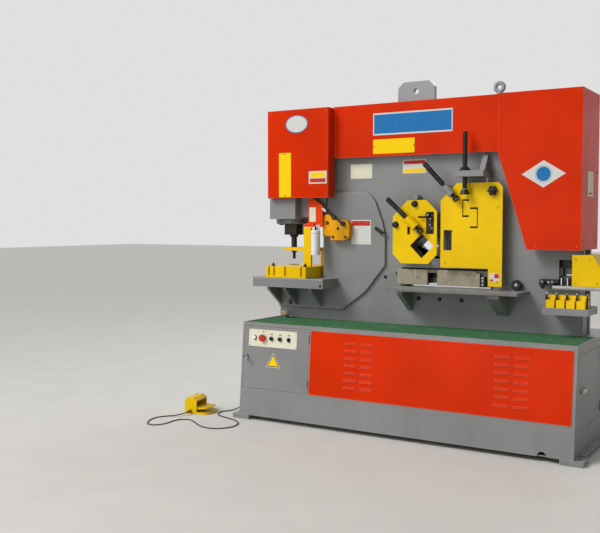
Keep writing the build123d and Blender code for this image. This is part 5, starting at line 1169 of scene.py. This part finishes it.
@dataclass
class ShearSide:
    """Fittings of the angle, section and plate shears."""

    angle_start: Pair = (-0.244, 1.728)
    angle_slope: float = 42.0
    bar_start: Pair = (0.058, 1.986)
    bar_slope: float = 46.5
    grip_length: float = 0.214
    slanted_root: float = 0.0132
    upright_root: float = 0.0161
    upright: Pair = (0.381, -0.112)

    def build(self) -> None:
        """Make the fittings."""
        self.angle_guard()
        self.grips()
        self.upright_screw()
        self.section_guard()
        self.plate_shear()
        self.bolts()

    def angle_guard(self) -> None:
        """Handle in the guard's tall slot, near-black blocks that paint the shade seen through both slots,
        the rack and the catch.
        """
        piece = Piece("angle_slot_parts", "machine", Paint.DARK, Paint.DARK_TOOL, Paint.PALE, Paint.GREY)
        # The near-black blocks here paint the shade inside the guard's two slots.
        piece.block((-0.100, -0.0545, 1.448), (-0.064, -0.0500, 1.522), 0.0006)
        piece.block((0.058, -0.0545, 1.452), (0.128, -0.0300, 1.632), 0.001, 0)
        piece.block((0.064, -0.0560, 1.470), (0.098, -0.0540, 1.586), 0.001, 1)
        piece.block((0.117, -0.0600, 1.462), (0.123, -0.0540, 1.622), 0.0006, 0)
        for index in range(6):
            x, z = 0.090 + 0.014 * (index % 2), 1.478 + 0.024 * index
            piece.screw((x, z, 0.0), OUT, 0.0065, 0.004, 2 if index % 3 else 0, wall(-0.0545))
        piece.rod((0.006, -0.088, 1.5865), (0.082, -0.088, 1.5865), 0.0075, paint=0)
        piece.rod((0.0865, -0.055, 1.603), (0.0865, -0.080, 1.603), 0.009, paint=0)
        piece.turned(
            (
                (0.014, 0.0), (0.0205, 0.003), (0.0205, 0.013),
                (0.016, 0.018), (0.0075, 0.018), (0.007, 0.0165),
            ),
            (0.0865, -0.080, 1.603), (0, -1, 0), 0,
        )
        piece.rod((0.0865, -0.096, 1.603), (0.0865, -0.0985, 1.603), 0.0065, paint=2)
        piece.rod((-0.034, -0.052, 1.735), (-0.034, 0.025, 1.735), 0.020, rounding=0.003, paint=3)
        piece.finish()
        rack = Piece("guard_rack", "machine", Paint.BLACK)
        rack.thread((0.162, -0.048, 1.452), (0.162, -0.048, 1.606), 0.0075, 0.011, 0.0035)
        rack.rod((0.162, -0.048, 1.440), (0.162, -0.048, 1.616), 0.0070)
        for z in (1.446, 1.610):
            rack.rod((0.162, -0.048, z), (0.162, 0.025, z), 0.0065)
        rack.finish()

    def grips(self) -> None:
        """Ribs of the grips, threads and the rims of the pads of the slanted screws."""
        for name, start, slope in (
            ("angle", self.angle_start, self.angle_slope),
            ("bar", self.bar_start, self.bar_slope),
        ):
            first, last = slanted(start, slope, 0.0), slanted(start, slope, self.grip_length)
            axis = tuple(Vector(last) - Vector(first))
            piece = Piece(f"{name}_grip_sleeve", f"{name}_screw", Paint.BLACK_KNOB, Paint.BLACK)
            profile = [(0.0150, 0.0015), (0.0186, 0.006)]
            for index in range(8):
                along = 0.018 + index * 0.023
                profile += [(0.0190, along), (0.0190, along + 0.016)]
                profile += [(0.0183, along + 0.018), (0.0183, along + 0.021)]
            profile += [(0.0190, 0.204), (0.0182, 0.2135)]
            piece.turned(tuple(profile), first, axis, 0, 28)
            neck = slanted(start, slope, 0.2145), slanted(start, slope, 0.225)
            piece.thread(*neck, self.slanted_root, 0.0035, 0.0007, 1)
            piece.finish()
            tail = Piece(f"{name}_thread", f"{name}_screw", Paint.BLACK)
            ends = slanted(start, slope, 0.3275), slanted(start, slope, 0.3545)
            tail.thread(*ends, self.slanted_root, 0.004, 0.0009)
            tail.finish()
            pad = Piece(f"{name}_pad_rim", f"{name}_foot", Paint.BLACK, Paint.PALE)
            for paint, along in enumerate((0.3595, 0.3785)):
                pad.ring(slanted(start, slope, along), axis, 0.0236, 0.0014, paint, 32)
            pad.finish()

    def upright_screw(self) -> None:
        """Thread, collar, hub and the bracket's pins of the upright clamp screw."""
        x, y = self.upright
        thread = Piece("section_thread", "section_screw", Paint.BLACK, Paint.PALE)
        for low, high in ((1.952, 2.186), (1.792, 1.872)):
            thread.thread((x, y, low), (x, y, high), self.upright_root, 0.006, 0.0011)
        tip = ((0.0145, 0.0), (0.0172, 0.003), (0.0172, 0.013), (0.014, 0.016))
        thread.turned(tip, (x, y, 2.187), OUT, 0)
        thread.finish()
        collar = Piece("bracket_collar", "machine", Paint.BLACK)
        collar.turned(((0.0430, 0.0), (0.0430, 0.006), (0.0385, 0.010), (0.0240, 0.0285), (0.0170, 0.0290)),
                      (x, y, 1.918), OUT, 0, 32)
        collar.finish()
        hub = Piece("section_foot_hub", "section_foot", Paint.PALE, Paint.BLACK)
        hub.ring((x, y, 1.786), OUT, 0.0205, 0.0032, 0, 36)
        hub.ring((x, y, 1.7515), OUT, 0.0352, 0.0022, 1, 40)
        hub.finish()
        pins = Piece("bracket_pins", "machine", Paint.PALE, Paint.GREY)
        upper = ((0.008, 0.0), (0.009, 0.002), (0.009, 0.050), (0.007, 0.053))
        lower = ((0.0085, 0.0), (0.0085, 0.076), (0.0065, 0.080))
        pins.turned(upper, (0.494, -0.030, 1.9175), OUT, 0)
        pins.turned(lower, (0.522, -0.030, 1.8765), (0, 0, -1), 0)
        pins.rod((0.522, -0.030, 1.8765), (0.522, -0.030, 1.868), 0.015, sides=6, paint=1)
        pins.finish()

    def section_guard(self) -> None:
        """Cap of the star knob and screws at the guard's posts."""
        cap = Piece("knob_cap", "guard_knob", Paint.BLACK)
        dome = ((0.0125, 0.0), (0.0135, 0.0015), (0.0105, 0.0035), (0.004, 0.0042))
        cap.turned(dome, (0.578, -0.099, 1.773), (0, -1, 0))
        cap.finish()
        screws = Piece("guard_screws", "machine", Paint.YELLOW, Paint.BLACK)
        for spot in ((0.213, 1.248), (0.612, 1.120), (0.612, 1.656)):
            screws.screw((*spot, 0.0), OUT, 0.009, 0.005, 0, wall(GUARD_Y))
        screws.block((0.268, -0.0685, 1.476), (0.236, -0.0645, 1.488), 0.0008, 1)
        screws.finish()

    def plate_shear(self) -> None:
        """Wear pads of the hold-down with bright joints, the dark clamp block and the table's edge."""
        piece = Piece("hold_down_pads", "machine", Paint.TAN, Paint.PALE, Paint.BLACK)
        low, high, front, back = 1.0735, 1.1885, -0.006, 0.0015
        pads = ((-0.197, -0.051), (-0.047, 0.049), (0.128, 0.198), (0.202, 0.318), (0.322, 0.436))
        for left, right in pads:
            piece.block((left, front, low), (right, back, high), 0.0015)
        for x in (-0.1985, -0.049, 0.200, 0.320):
            piece.block((x - 0.0022, front - 0.0014, low), (x + 0.0022, back, high), 0.0006, 1)
        piece.block((0.440, -0.030, low), (0.472, back, 1.172), 0.003, 0)
        piece.block((0.474, -0.026, low), (0.512, back, 1.150), 0.003, 2)
        for z in (1.092, 1.118, 1.140):
            piece.screw((0.493, z, 0.0), OUT, 0.009, 0.007, 1, wall(-0.026))
        piece.finish()
        edge = Piece("table_edge", "machine", Paint.GROUND, Paint.GREY)
        edge.block((-0.1735, -0.2512, 1.0360), (0.8185, -0.2496, 1.0565), 0.0006)
        for x in (-0.105, 0.630):
            for y in (-0.205, -0.060):
                edge.screw((x, y, 1.0565), OUT, 0.009, 0.0014, 1)
        edge.finish()

    def bolts(self) -> None:
        """Sockets and washers on the frame's cap screws, and the round knob on the wall."""
        piece = Piece("bolt_faces", "machine", Paint.BLACK, Paint.PALE)
        large = ((0.009, 0.0004), (0.0095, 0.0035), (0.0165, 0.0035), (0.0195, 0.001), (0.0203, 0.0))
        large_washer = ((0.0255, 0.0), (0.0255, 0.0028), (0.0195, 0.003))
        for x, z in ((-0.032, 1.686), (-0.190, 1.529)):
            piece.turned(large, (x, z, 0.0), OUT, 0, 24, wall(-0.087))
            piece.turned(large_washer, (x, z, 0.0), OUT, 0, 24, wall(GUARD_Y))
        small = ((0.0052, 0.0003), (0.0055, 0.002), (0.0092, 0.002), (0.0112, 0.0))
        small_washer = ((0.0165, 0.0), (0.0165, 0.002), (0.0110, 0.0022))
        for x, z in ((-0.035, 0.965), (0.137, 0.965), (0.311, 0.965), (-0.212, 1.150), (0.915, 1.095)):
            piece.turned(small, (x, z, 0.0), OUT, 0, 24, wall(0.013))
            piece.turned(small_washer, (x, z, 0.0), OUT, 0, 24, wall(WALL_Y))
        knob = (
            (0.020, 0.0), (0.020, 0.014), (0.034, 0.018), (0.037, 0.024),
            (0.037, 0.040), (0.031, 0.046), (0.016, 0.046), (0.015, 0.040),
        )
        piece.turned(knob, (0.739, 1.097, 0.0), OUT, 0, 32, wall(WALL_Y))
        button = ((0.014, 0.0), (0.012, 0.006), (0.004, 0.008))
        piece.turned(button, (0.739, 1.097, 0.0405), OUT, 1, 24, wall(WALL_Y))
        piece.finish()


@dataclass
class Notcher:
    """Fittings of the notching station."""

    def build(self) -> None:
        """Make the fittings."""
        piece = Piece("notcher_fittings", "machine", Paint.BLACK, Paint.BRIGHT, Paint.PALE)
        for index in range(5):
            x = 1.005 + 0.068 * index
            piece.rod((x, -0.185, 0.966), (x, -0.185, 1.060), 0.0055)
            piece.rod((x, -0.185, 1.026), (x, -0.185, 1.036), 0.0110, sides=6)
            piece.thread((x, -0.185, 1.038), (x, -0.185, 1.059), 0.0056, 0.0022, 0.0006)
            piece.turned(((0.0052, 0.0), (0.0052, 0.004), (0.0030, 0.007)), (x, -0.185, 1.060), OUT, 1, 16)
        piece.block((1.018, -0.0962, 1.0945), (1.344, -0.0946, 1.1090), 0.0004, 2)
        piece.finish()
        die = Piece("die_clamps", "machine", Paint.BLACK, Paint.BRIGHT)
        die.block((0.9114, -0.0426, 1.1098), (1.0466, 0.0246, 1.1486), 0.002)
        for x in (0.938, 1.008):
            die.block((x - 0.020, -0.078, 1.1102), (x + 0.020, -0.046, 1.130), 0.003)
            die.screw((x, -0.062, 1.130), OUT, 0.010, 0.010, 1)
        for x in (1.070, 1.112):
            die.block((x - 0.004, -0.060, 1.1102), (x + 0.004, 0.020, 1.1640), 0.001, 1)
        for x in (0.932, 0.976, 1.020):
            die.screw((x, 1.129, 0.0), OUT, 0.007, 0.004, 1, wall(-0.042))
        die.finish()
        screws = Piece("notcher_guard_screws", "machine", Paint.YELLOW)
        for x, z in ((1.170, 1.135), (1.315, 1.135), (1.170, 1.300), (1.262, 1.300)):
            screws.screw((x, z, 0.0), OUT, 0.008, 0.0045, 0, wall(-0.090))
        screws.finish()


@dataclass
class Controls:
    """Fittings of the control plate and the cabinet door."""

    row: float = 0.6109
    lamp_x: float = -1.182
    stop_x: float = -1.1035
    knobs: tuple[float, ...] = (-1.025, -0.9465, -0.868)

    def build(self) -> None:
        """Make the bezels, the lamp, the marks, the keys and the sign."""
        self.bezels()
        self.lamp()
        self.keys()
        self.sign()

    def bezels(self) -> None:
        """Screws of the plate, rings round the buttons and plain marks above them."""
        piece = Piece("control_bezels", "cabinet_door", Paint.CHROME, Paint.WHITE, Paint.DARK)
        for x in (-1.229, -0.806):
            for v in (0.553, 0.666):
                piece.screw((x, v, 0.002), OUT, 0.0048, 0.0022, 0, FRONT)
        for x in self.knobs:
            piece.ring((x, self.row, 0.0036), OUT, 0.0174, 0.0016, 0, 32, FRONT)
            low, high = (x - 0.011, self.row + 0.030, 0.0018), (x + 0.011, self.row + 0.037, 0.0024)
            piece.block(low, high, 0.0002, 2, FRONT, 1)
        disc = ((0.036, 0.0), (0.036, 0.0006), (0.032, 0.0007))
        piece.turned(disc, (self.stop_x, self.row, 0.002), OUT, 1, 40, FRONT)
        piece.rod((self.stop_x, self.row + 0.0505, 0.002), (self.stop_x, self.row + 0.0505, 0.0032), 0.005,
                  paint=2, rounding=0.0004, place=FRONT)
        piece.finish()

    def lamp(self) -> None:
        """Bezel and lens of the pilot lamp."""
        piece = Piece("lamp_lens", "cabinet_door", Paint.LENS, Paint.BLACK)
        spot = (self.lamp_x, self.row, 0.002)
        piece.turned(((0.0146, 0.0), (0.0146, 0.0135), (0.0132, 0.0165), (0.0090, 0.0185), (0.0030, 0.0193)),
                     spot, OUT, 0, 32, FRONT)
        piece.ring((self.lamp_x, self.row, 0.0040), OUT, 0.0168, 0.0026, 1, 32, FRONT)
        piece.finish()

    def keys(self) -> None:
        """Key in the latch, with a second key on its ring."""
        x, v = -1.252, 0.4589
        piece = Piece("latch_keys", "door_latch", Paint.CHROME, Paint.DARK)
        piece.block((x - 0.0012, v - 0.006, 0.018), (x + 0.0012, v + 0.006, 0.036), 0.0004, 0, FRONT)
        piece.turned(((0.010, 0.0), (0.011, 0.0006), (0.011, 0.0022), (0.010, 0.0028)),
                     (x - 0.0014, v, 0.043), (1, 0, 0), 0, 24, FRONT)
        piece.ring((x + 0.012, v - 0.004, 0.046), (0, 1, 0.5), 0.0125, 0.0009, 0, 28, FRONT)
        piece.turned(((0.010, 0.0), (0.011, 0.0006), (0.011, 0.0022), (0.010, 0.0028)),
                     (x + 0.0265, v - 0.010, 0.044), OUT, 0, 24, FRONT)
        piece.block((x + 0.0235, v - 0.044, 0.0445), (x + 0.0290, v - 0.018, 0.0465), 0.0005, 0, FRONT)
        piece.finish()

    def sign(self) -> None:
        """Plain triangular plate on the door."""
        piece = Piece("door_triangle", "cabinet_door", Paint.GOLD, Paint.DARK, Paint.WHITE)
        place = FRONT @ Matrix.Translation((-1.0035, 0.4270, 0.0)) @ Matrix.Rotation(math.pi, 4, "Z")
        for radius, top, paint in ((0.0760, 0.0008, 2), (0.0660, 0.0012, 1), (0.0540, 0.0016, 0)):
            piece.rod((0, 0, 0), (0, 0, top), radius, None, 0.0, paint, 3, place)
        piece.finish()


@dataclass
class Cabinet:
    """Fittings of the base cabinet and its deck."""

    rib_pitch: float = 0.0085
    rib_width: float = 0.0034
    mat_top: float = 0.757

    def build(self) -> None:
        """Make the ribs of the mat, the panel's screws and the fittings at the ends."""
        self.ribs()
        self.panel()
        self.ends()

    def ribs(self) -> None:
        """Long ribs on the rubber mat."""
        piece = Piece("mat_ribs", "machine", Paint.MAT)
        y = -0.492
        low, high = self.mat_top - 0.0005, self.mat_top + 0.0012
        while y < 0.012:
            piece.block((-1.284, y, low), (1.284, y + self.rib_width, high), 0.0005)
            y += self.rib_pitch
        piece.finish()

    def panel(self) -> None:
        """Countersunk screws round the louvre panel."""
        piece = Piece("panel_screws", "machine", Paint.RED)
        for index in range(6):
            x = -0.655 + 1.917 * index / 5
            for v in (0.229, 0.683):
                piece.screw((x, v, 0.0), OUT, 0.0062, 0.0026, 0, FRONT)
        piece.finish()

    def ends(self) -> None:
        """Lock nut and taper of the cord's gland, the clip on the deck and the breather's ribbed cover."""
        piece = Piece("end_fittings", "machine", Paint.BLACK, Paint.PALE, Paint.DARK)
        piece.rod((-1.3002, -0.330, 0.095), (-1.3070, -0.330, 0.095), 0.0165, sides=6)
        piece.turned(((0.0098, 0.0), (0.0098, 0.004), (0.0062, 0.032), (0.0052, 0.0335)),
                     (-1.3195, -0.330, 0.095), (-1, 0, 0), 2, 20)
        piece.block((-1.094, -0.1700, 0.885), (-1.068, -0.1560, 0.925), 0.003)
        piece.finish()
        cap = Piece("breather_cover", "machine", Paint.RUST_CAP, Paint.BLACK)
        cap.turned(((0.0335, 0.0), (0.0345, 0.003), (0.0345, 0.026), (0.0300, 0.0315), (0.0100, 0.0345)),
                   (-1.180, -0.070, 0.7855), OUT, 0, 32)
        for spot in circle((-1.180, -0.070), 0.0345, 16):
            cap.rod((*spot, 0.790), (*spot, 0.810), 0.0022, sides=8, rounding=0.0004)
        cap.ring((-1.180, -0.070, 0.770), OUT, 0.0215, 0.0030, 1, 36)
        cap.finish()


@dataclass
class FootSwitch:
    """Fittings of the foot switch."""

    spot: Triple = (-1.7945, -0.575, 0.0)
    heading: float = 12.0

    @property
    def place(self) -> Matrix:
        """Where the foot switch stands, turned to its heading."""
        return Matrix.Translation(self.spot) @ Matrix.Rotation(math.radians(self.heading), 4, "Z")

    def build(self) -> None:
        """Make the tread ribs, the housing's screws and the cord's gland."""
        tread = Piece("pedal_ribs", "foot_pedal", Paint.YELLOW, Paint.DARK)
        for index in range(6):
            x = 0.112 + 0.0135 * index
            top = 0.0520 + (x - 0.030) / 0.173 * 0.005
            half = 0.070 if index < 5 else 0.058
            tread.block((x, -half, top - 0.001), (x + 0.0055, half, top + 0.0016), 0.0006, 0, self.place)
        tread.finish()
        shell = Piece("foot_switch_fittings", "machine", Paint.BLACK, Paint.PALE, Paint.DARK, Paint.YELLOW)
        for x in (0.018, 0.072):
            for y in (-0.078, 0.078):
                shell.screw((x + 0.006, y, 0.132), OUT, 0.0055, 0.003, 1, self.place)
        shell.rod((0.050, -0.0952, 0.024), (0.050, -0.1020, 0.024), 0.0150, sides=6, place=self.place)
        shell.turned(((0.0100, 0.0), (0.0100, 0.003), (0.0062, 0.028), (0.0052, 0.030)),
                     (0.050, -0.1148, 0.024), (0, -1, 0), 2, 20, self.place)
        shell.block((0.100, -0.092, 0.108), (0.1062, 0.092, 0.113), 0.001, 3, self.place)
        for y in (-0.0892, 0.0892):
            shell.block((0.106, y - 0.003, 0.0135), (0.196, y + 0.003, 0.0165), 0.001, 3, self.place)
        shell.finish()


@dataclass
class Inside:
    """Fittings behind the doors."""

    motor_y: float = -0.09
    motor_z: float = 0.243

    def build(self) -> None:
        """Make the motor's fins, the terminal box's screws, the switchgear's faces and the pump's bolts."""
        motor = Piece("motor_fins", "machine", Paint.MOTOR, Paint.BLACK)
        for index in range(10):
            x = 0.560 + 0.031 * index
            motor.ring((x, self.motor_y, self.motor_z), (1, 0, 0), 0.1495, 0.0045, 0, 40)
        for x in (0.648, 0.752):
            for y in (-0.132, -0.048):
                motor.screw((x, y, 0.448), OUT, 0.005, 0.003, 1)
        motor.finish()
        pump = Piece("pump_bolts", "machine", Paint.BRIGHT)
        for spot in circle((self.motor_y, self.motor_z), 0.052, 4, 45.0):
            pump.screw((0.250, *spot), (-1, 0, 0), 0.009, 0.008)
        pump.finish()
        gear = Piece("switchgear_faces", "machine", Paint.DARK, Paint.PALE, Paint.GEAR)
        front = -0.292
        for row in range(2):
            z = 0.330 + 0.190 * row
            for index in range(5):
                x = -1.200 + 0.090 * index + 0.031
                low, high = (x - 0.012, front - 0.007, z - 0.012), (x + 0.012, front + 0.001, z + 0.012)
                gear.block(low, high, 0.002, 0)
                for up in (-0.034, 0.034):
                    for across in (-0.018, 0.0, 0.018):
                        gear.screw((x + across, z + up, 0.0), OUT, 0.0045, 0.0015, 1, wall(front))
        gear.finish()


@dataclass
class Welds:
    """Rippled weld beads where plates meet the frame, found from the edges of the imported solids."""

    radius: float = 0.0042
    shortest: float = 0.004

    def rim(self, name: str, y: float) -> list[tuple[Triple, Triple]]:
        """Sharp edges of a node that lie in one upright plane.

        Args:
            name: Node.
            y: Where the plane stands.

        Returns:
            Both ends of each edge.
        """
        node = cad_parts[name]
        shape = bmesh.new()
        shape.from_mesh(node.data)
        bmesh.ops.transform(shape, matrix=node.matrix_world, verts=shape.verts)
        bmesh.ops.remove_doubles(shape, verts=shape.verts, dist=0.00002)
        bmesh.ops.dissolve_limit(shape, angle_limit=0.02, verts=shape.verts, edges=shape.edges)
        found = []
        for edge in shape.edges:
            ends = [corner.co for corner in edge.verts]
            flat = all(abs(end.y - y) < 0.0007 for end in ends)
            if flat and edge.calc_length() > self.shortest and edge.calc_face_angle(0.0) > 0.5:
                found.append((tuple(ends[0]), tuple(ends[1])))
        shape.free()
        return found

    def build(self) -> None:
        """Run the beads."""
        for name, y, left in (
            ("throat_cheeks", WALL_Y, -0.860),
            ("throat_cheeks", 0.239, -0.860),
            ("punch_table", CHEEK_Y, -2.0),
            ("shear_table", WALL_Y, -2.0),
            ("screw_brackets", WALL_Y, -2.0),
            ("notcher_table", WALL_Y, -2.0),
        ):
            piece = Piece(f"{name}_weld_{round(y * 1000)}", "machine", Paint.GREY)
            for start, end in self.rim(name, y):
                if (start[0] + end[0]) / 2 > left or (start[2] + end[2]) / 2 < 1.0:
                    piece.bead([start, end], self.radius)
            piece.finish()


# Cord
@dataclass
class FootCord:
    """Cord of the foot switch, from the base's gland to the pedal's along the floor."""

    radius: float = 0.0045
    length: float = 2.36
    route: tuple[Triple, ...] = (
        (-1.3200, -0.3300, 0.0950),
        (-1.3700, -0.3300, 0.0950),
        (-1.4180, -0.3360, 0.0680),
        (-1.4590, -0.3520, 0.0260),
        (-1.5060, -0.3900, 0.0049),
        (-1.5470, -0.4520, 0.0049),
        (-1.5450, -0.5260, 0.0049),
        (-1.5020, -0.5860, 0.0049),
        (-1.4320, -0.6180, 0.0049),
        (-1.3430, -0.6400, 0.0049),
        (-1.2570, -0.6730, 0.0049),
        (-1.1880, -0.7380, 0.0049),
        (-1.1580, -0.8290, 0.0049),
        (-1.1840, -0.9240, 0.0049),
        (-1.2620, -0.9820, 0.0049),
        (-1.3620, -0.9720, 0.0049),
        (-1.4520, -0.9210, 0.0049),
        (-1.5280, -0.8610, 0.0049),
        (-1.6050, -0.8310, 0.0049),
        (-1.6640, -0.8730, 0.0049),
        (-1.6710, -0.9530, 0.0049),
        (-1.6600, -1.0370, 0.0049),
        (-1.6900, -1.1170, 0.0049),
        (-1.7650, -1.1260, 0.0049),
        (-1.8210, -1.0650, 0.0049),
        (-1.8570, -0.9840, 0.0049),
        (-1.8620, -0.9000, 0.0049),
        (-1.8220, -0.8280, 0.0049),
        (-1.7660, -0.7940, 0.0080),
        (-1.7088, -0.7378, 0.0240),
        (-1.72168, -0.6771, 0.0240),
    )

    def build(self) -> None:
        """Lay the cord on its route."""
        data = bpy.data.curves.new("foot_cord", "CURVE")
        data.dimensions = "3D"
        data.bevel_depth = self.radius
        data.bevel_resolution = 4
        data.resolution_u = 10
        data.use_fill_caps = True
        line = data.splines.new("NURBS")
        line.points.add(len(self.route) - 1)
        for point, spot in zip(line.points, self.route):
            point.co = (*spot, 1.0)
        line.order_u = 3
        line.use_endpoint_u = True
        cord = bpy.data.objects.new("foot_cord", data)
        bpy.context.scene.collection.objects.link(cord)
        data.materials.append(Paint.CORD.material())
        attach(cord, "machine")
        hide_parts("foot_switch_cord")


# Studio
@dataclass
class Studio:
    """Plain pale floor, soft light and the camera."""

    camera_place: Triple = (2.677, -6.077, 1.549)
    camera_tilt: float = 87.06
    camera_heading: float = 31.8
    lens: float = 51.9
    sensor: float = 36.0
    floor_reach: float = 40.0
    floor_colour: Triple = (205, 203, 198)
    floor_shade: float = 0.985
    backdrop: Triple = (224, 224, 224)
    lamp_target: Triple = (0.0, 0.0, 1.1)
    sky_light: float = 0.365
    sun_from: Triple = (-0.46, -0.62, 0.70)
    sun_power: float = 1.85
    sun_spread: float = 24.0
    lamps: tuple[tuple[Triple, float, float], ...] = (
        ((-3.5, -5.5, 5.5), 3.5, 120.0),
        ((-1.5, -6.5, 1.6), 3.0, 50.0),
        ((0.0, 4.5, 5.5), 3.0, 120.0),
    )

    def camera(self) -> None:
        """Camera at the photograph's viewing angle."""
        data = bpy.data.cameras.new("camera")
        data.lens = self.lens
        data.sensor_width = self.sensor
        data.clip_end = 100.0
        camera = bpy.data.objects.new("camera", data)
        camera.location = self.camera_place
        camera.rotation_euler = (math.radians(self.camera_tilt), 0.0, math.radians(self.camera_heading))
        bpy.context.scene.collection.objects.link(camera)
        bpy.context.scene.camera = camera

    def floor(self) -> None:
        """Pale floor that takes the machine's shadow."""
        data = bpy.data.meshes.new("floor")
        mesh = bmesh.new()
        bmesh.ops.create_grid(mesh, x_segments=1, y_segments=1, size=self.floor_reach)
        mesh.to_mesh(data)
        mesh.free()
        floor = bpy.data.objects.new("floor", data)
        bpy.context.scene.collection.objects.link(floor)
        graph = Graph("pale_floor")
        cloud = graph.noise(3.0, 4.0)
        darker = tuple(channel * self.floor_shade for channel in self.floor_colour)
        colour = graph.blend(cloud.between(0.35, 0.65), linear(self.floor_colour), linear(darker))
        data.materials.append(graph.finish({"Base Color": colour, "Roughness": 0.85}))

    def light(self) -> None:
        """World and lamps, with a pale background for the camera and for reflections."""
        world = bpy.data.worlds.new("studio")
        world.use_nodes = True
        tree = world.node_tree
        tree.nodes.clear()
        path = tree.nodes.new("ShaderNodeLightPath")
        either = tree.nodes.new("ShaderNodeMath")
        either.operation = "MAXIMUM"
        tree.links.new(path.outputs["Is Camera Ray"], either.inputs[0])
        tree.links.new(path.outputs["Is Glossy Ray"], either.inputs[1])
        glow = tree.nodes.new("ShaderNodeBackground")
        glow.inputs["Color"].default_value = (1.0, 1.0, 1.0, 1.0)
        glow.inputs["Strength"].default_value = self.sky_light
        shown = tree.nodes.new("ShaderNodeBackground")
        shown.inputs["Color"].default_value = linear(self.backdrop)
        mix = tree.nodes.new("ShaderNodeMixShader")
        tree.links.new(either.outputs[0], mix.inputs[0])
        tree.links.new(glow.outputs[0], mix.inputs[1])
        tree.links.new(shown.outputs[0], mix.inputs[2])
        out = tree.nodes.new("ShaderNodeOutputWorld")
        tree.links.new(mix.outputs[0], out.inputs["Surface"])
        bpy.context.scene.world = world
        data = bpy.data.lights.new("sun", "SUN")
        data.energy = self.sun_power
        data.angle = math.radians(self.sun_spread)
        sun = bpy.data.objects.new("sun", data)
        sun.rotation_euler = Vector(self.sun_from).to_track_quat("Z", "Y").to_euler()
        bpy.context.scene.collection.objects.link(sun)
        for index, (place, size, power) in enumerate(self.lamps):
            data = bpy.data.lights.new(f"lamp_{index}", "AREA")
            data.shape = "SQUARE"
            data.size = size
            data.energy = power
            lamp = bpy.data.objects.new(f"lamp_{index}", data)
            lamp.location = place
            aim = Vector(self.lamp_target) - Vector(place)
            lamp.rotation_euler = aim.to_track_quat("-Z", "Y").to_euler()
            bpy.context.scene.collection.objects.link(lamp)
        bpy.context.scene.view_settings.view_transform = "Standard"

    def build(self) -> None:
        """Make the camera, the floor and the light."""
        self.camera()
        self.floor()
        self.light()


def main() -> None:
    """Build everything in order."""
    logging.basicConfig(level=logging.INFO, format="%(message)s")
    Studio().build()
    FootCord().build()
    usual_dressing().apply()
    parts = (
        Labels(), Covers(), PunchEnd(), ShearSide(), Notcher(),
        Controls(), Cabinet(), FootSwitch(), Inside(), Welds(),
    )
    for part in parts:
        part.build()


if __name__ == "__main__":
    main()
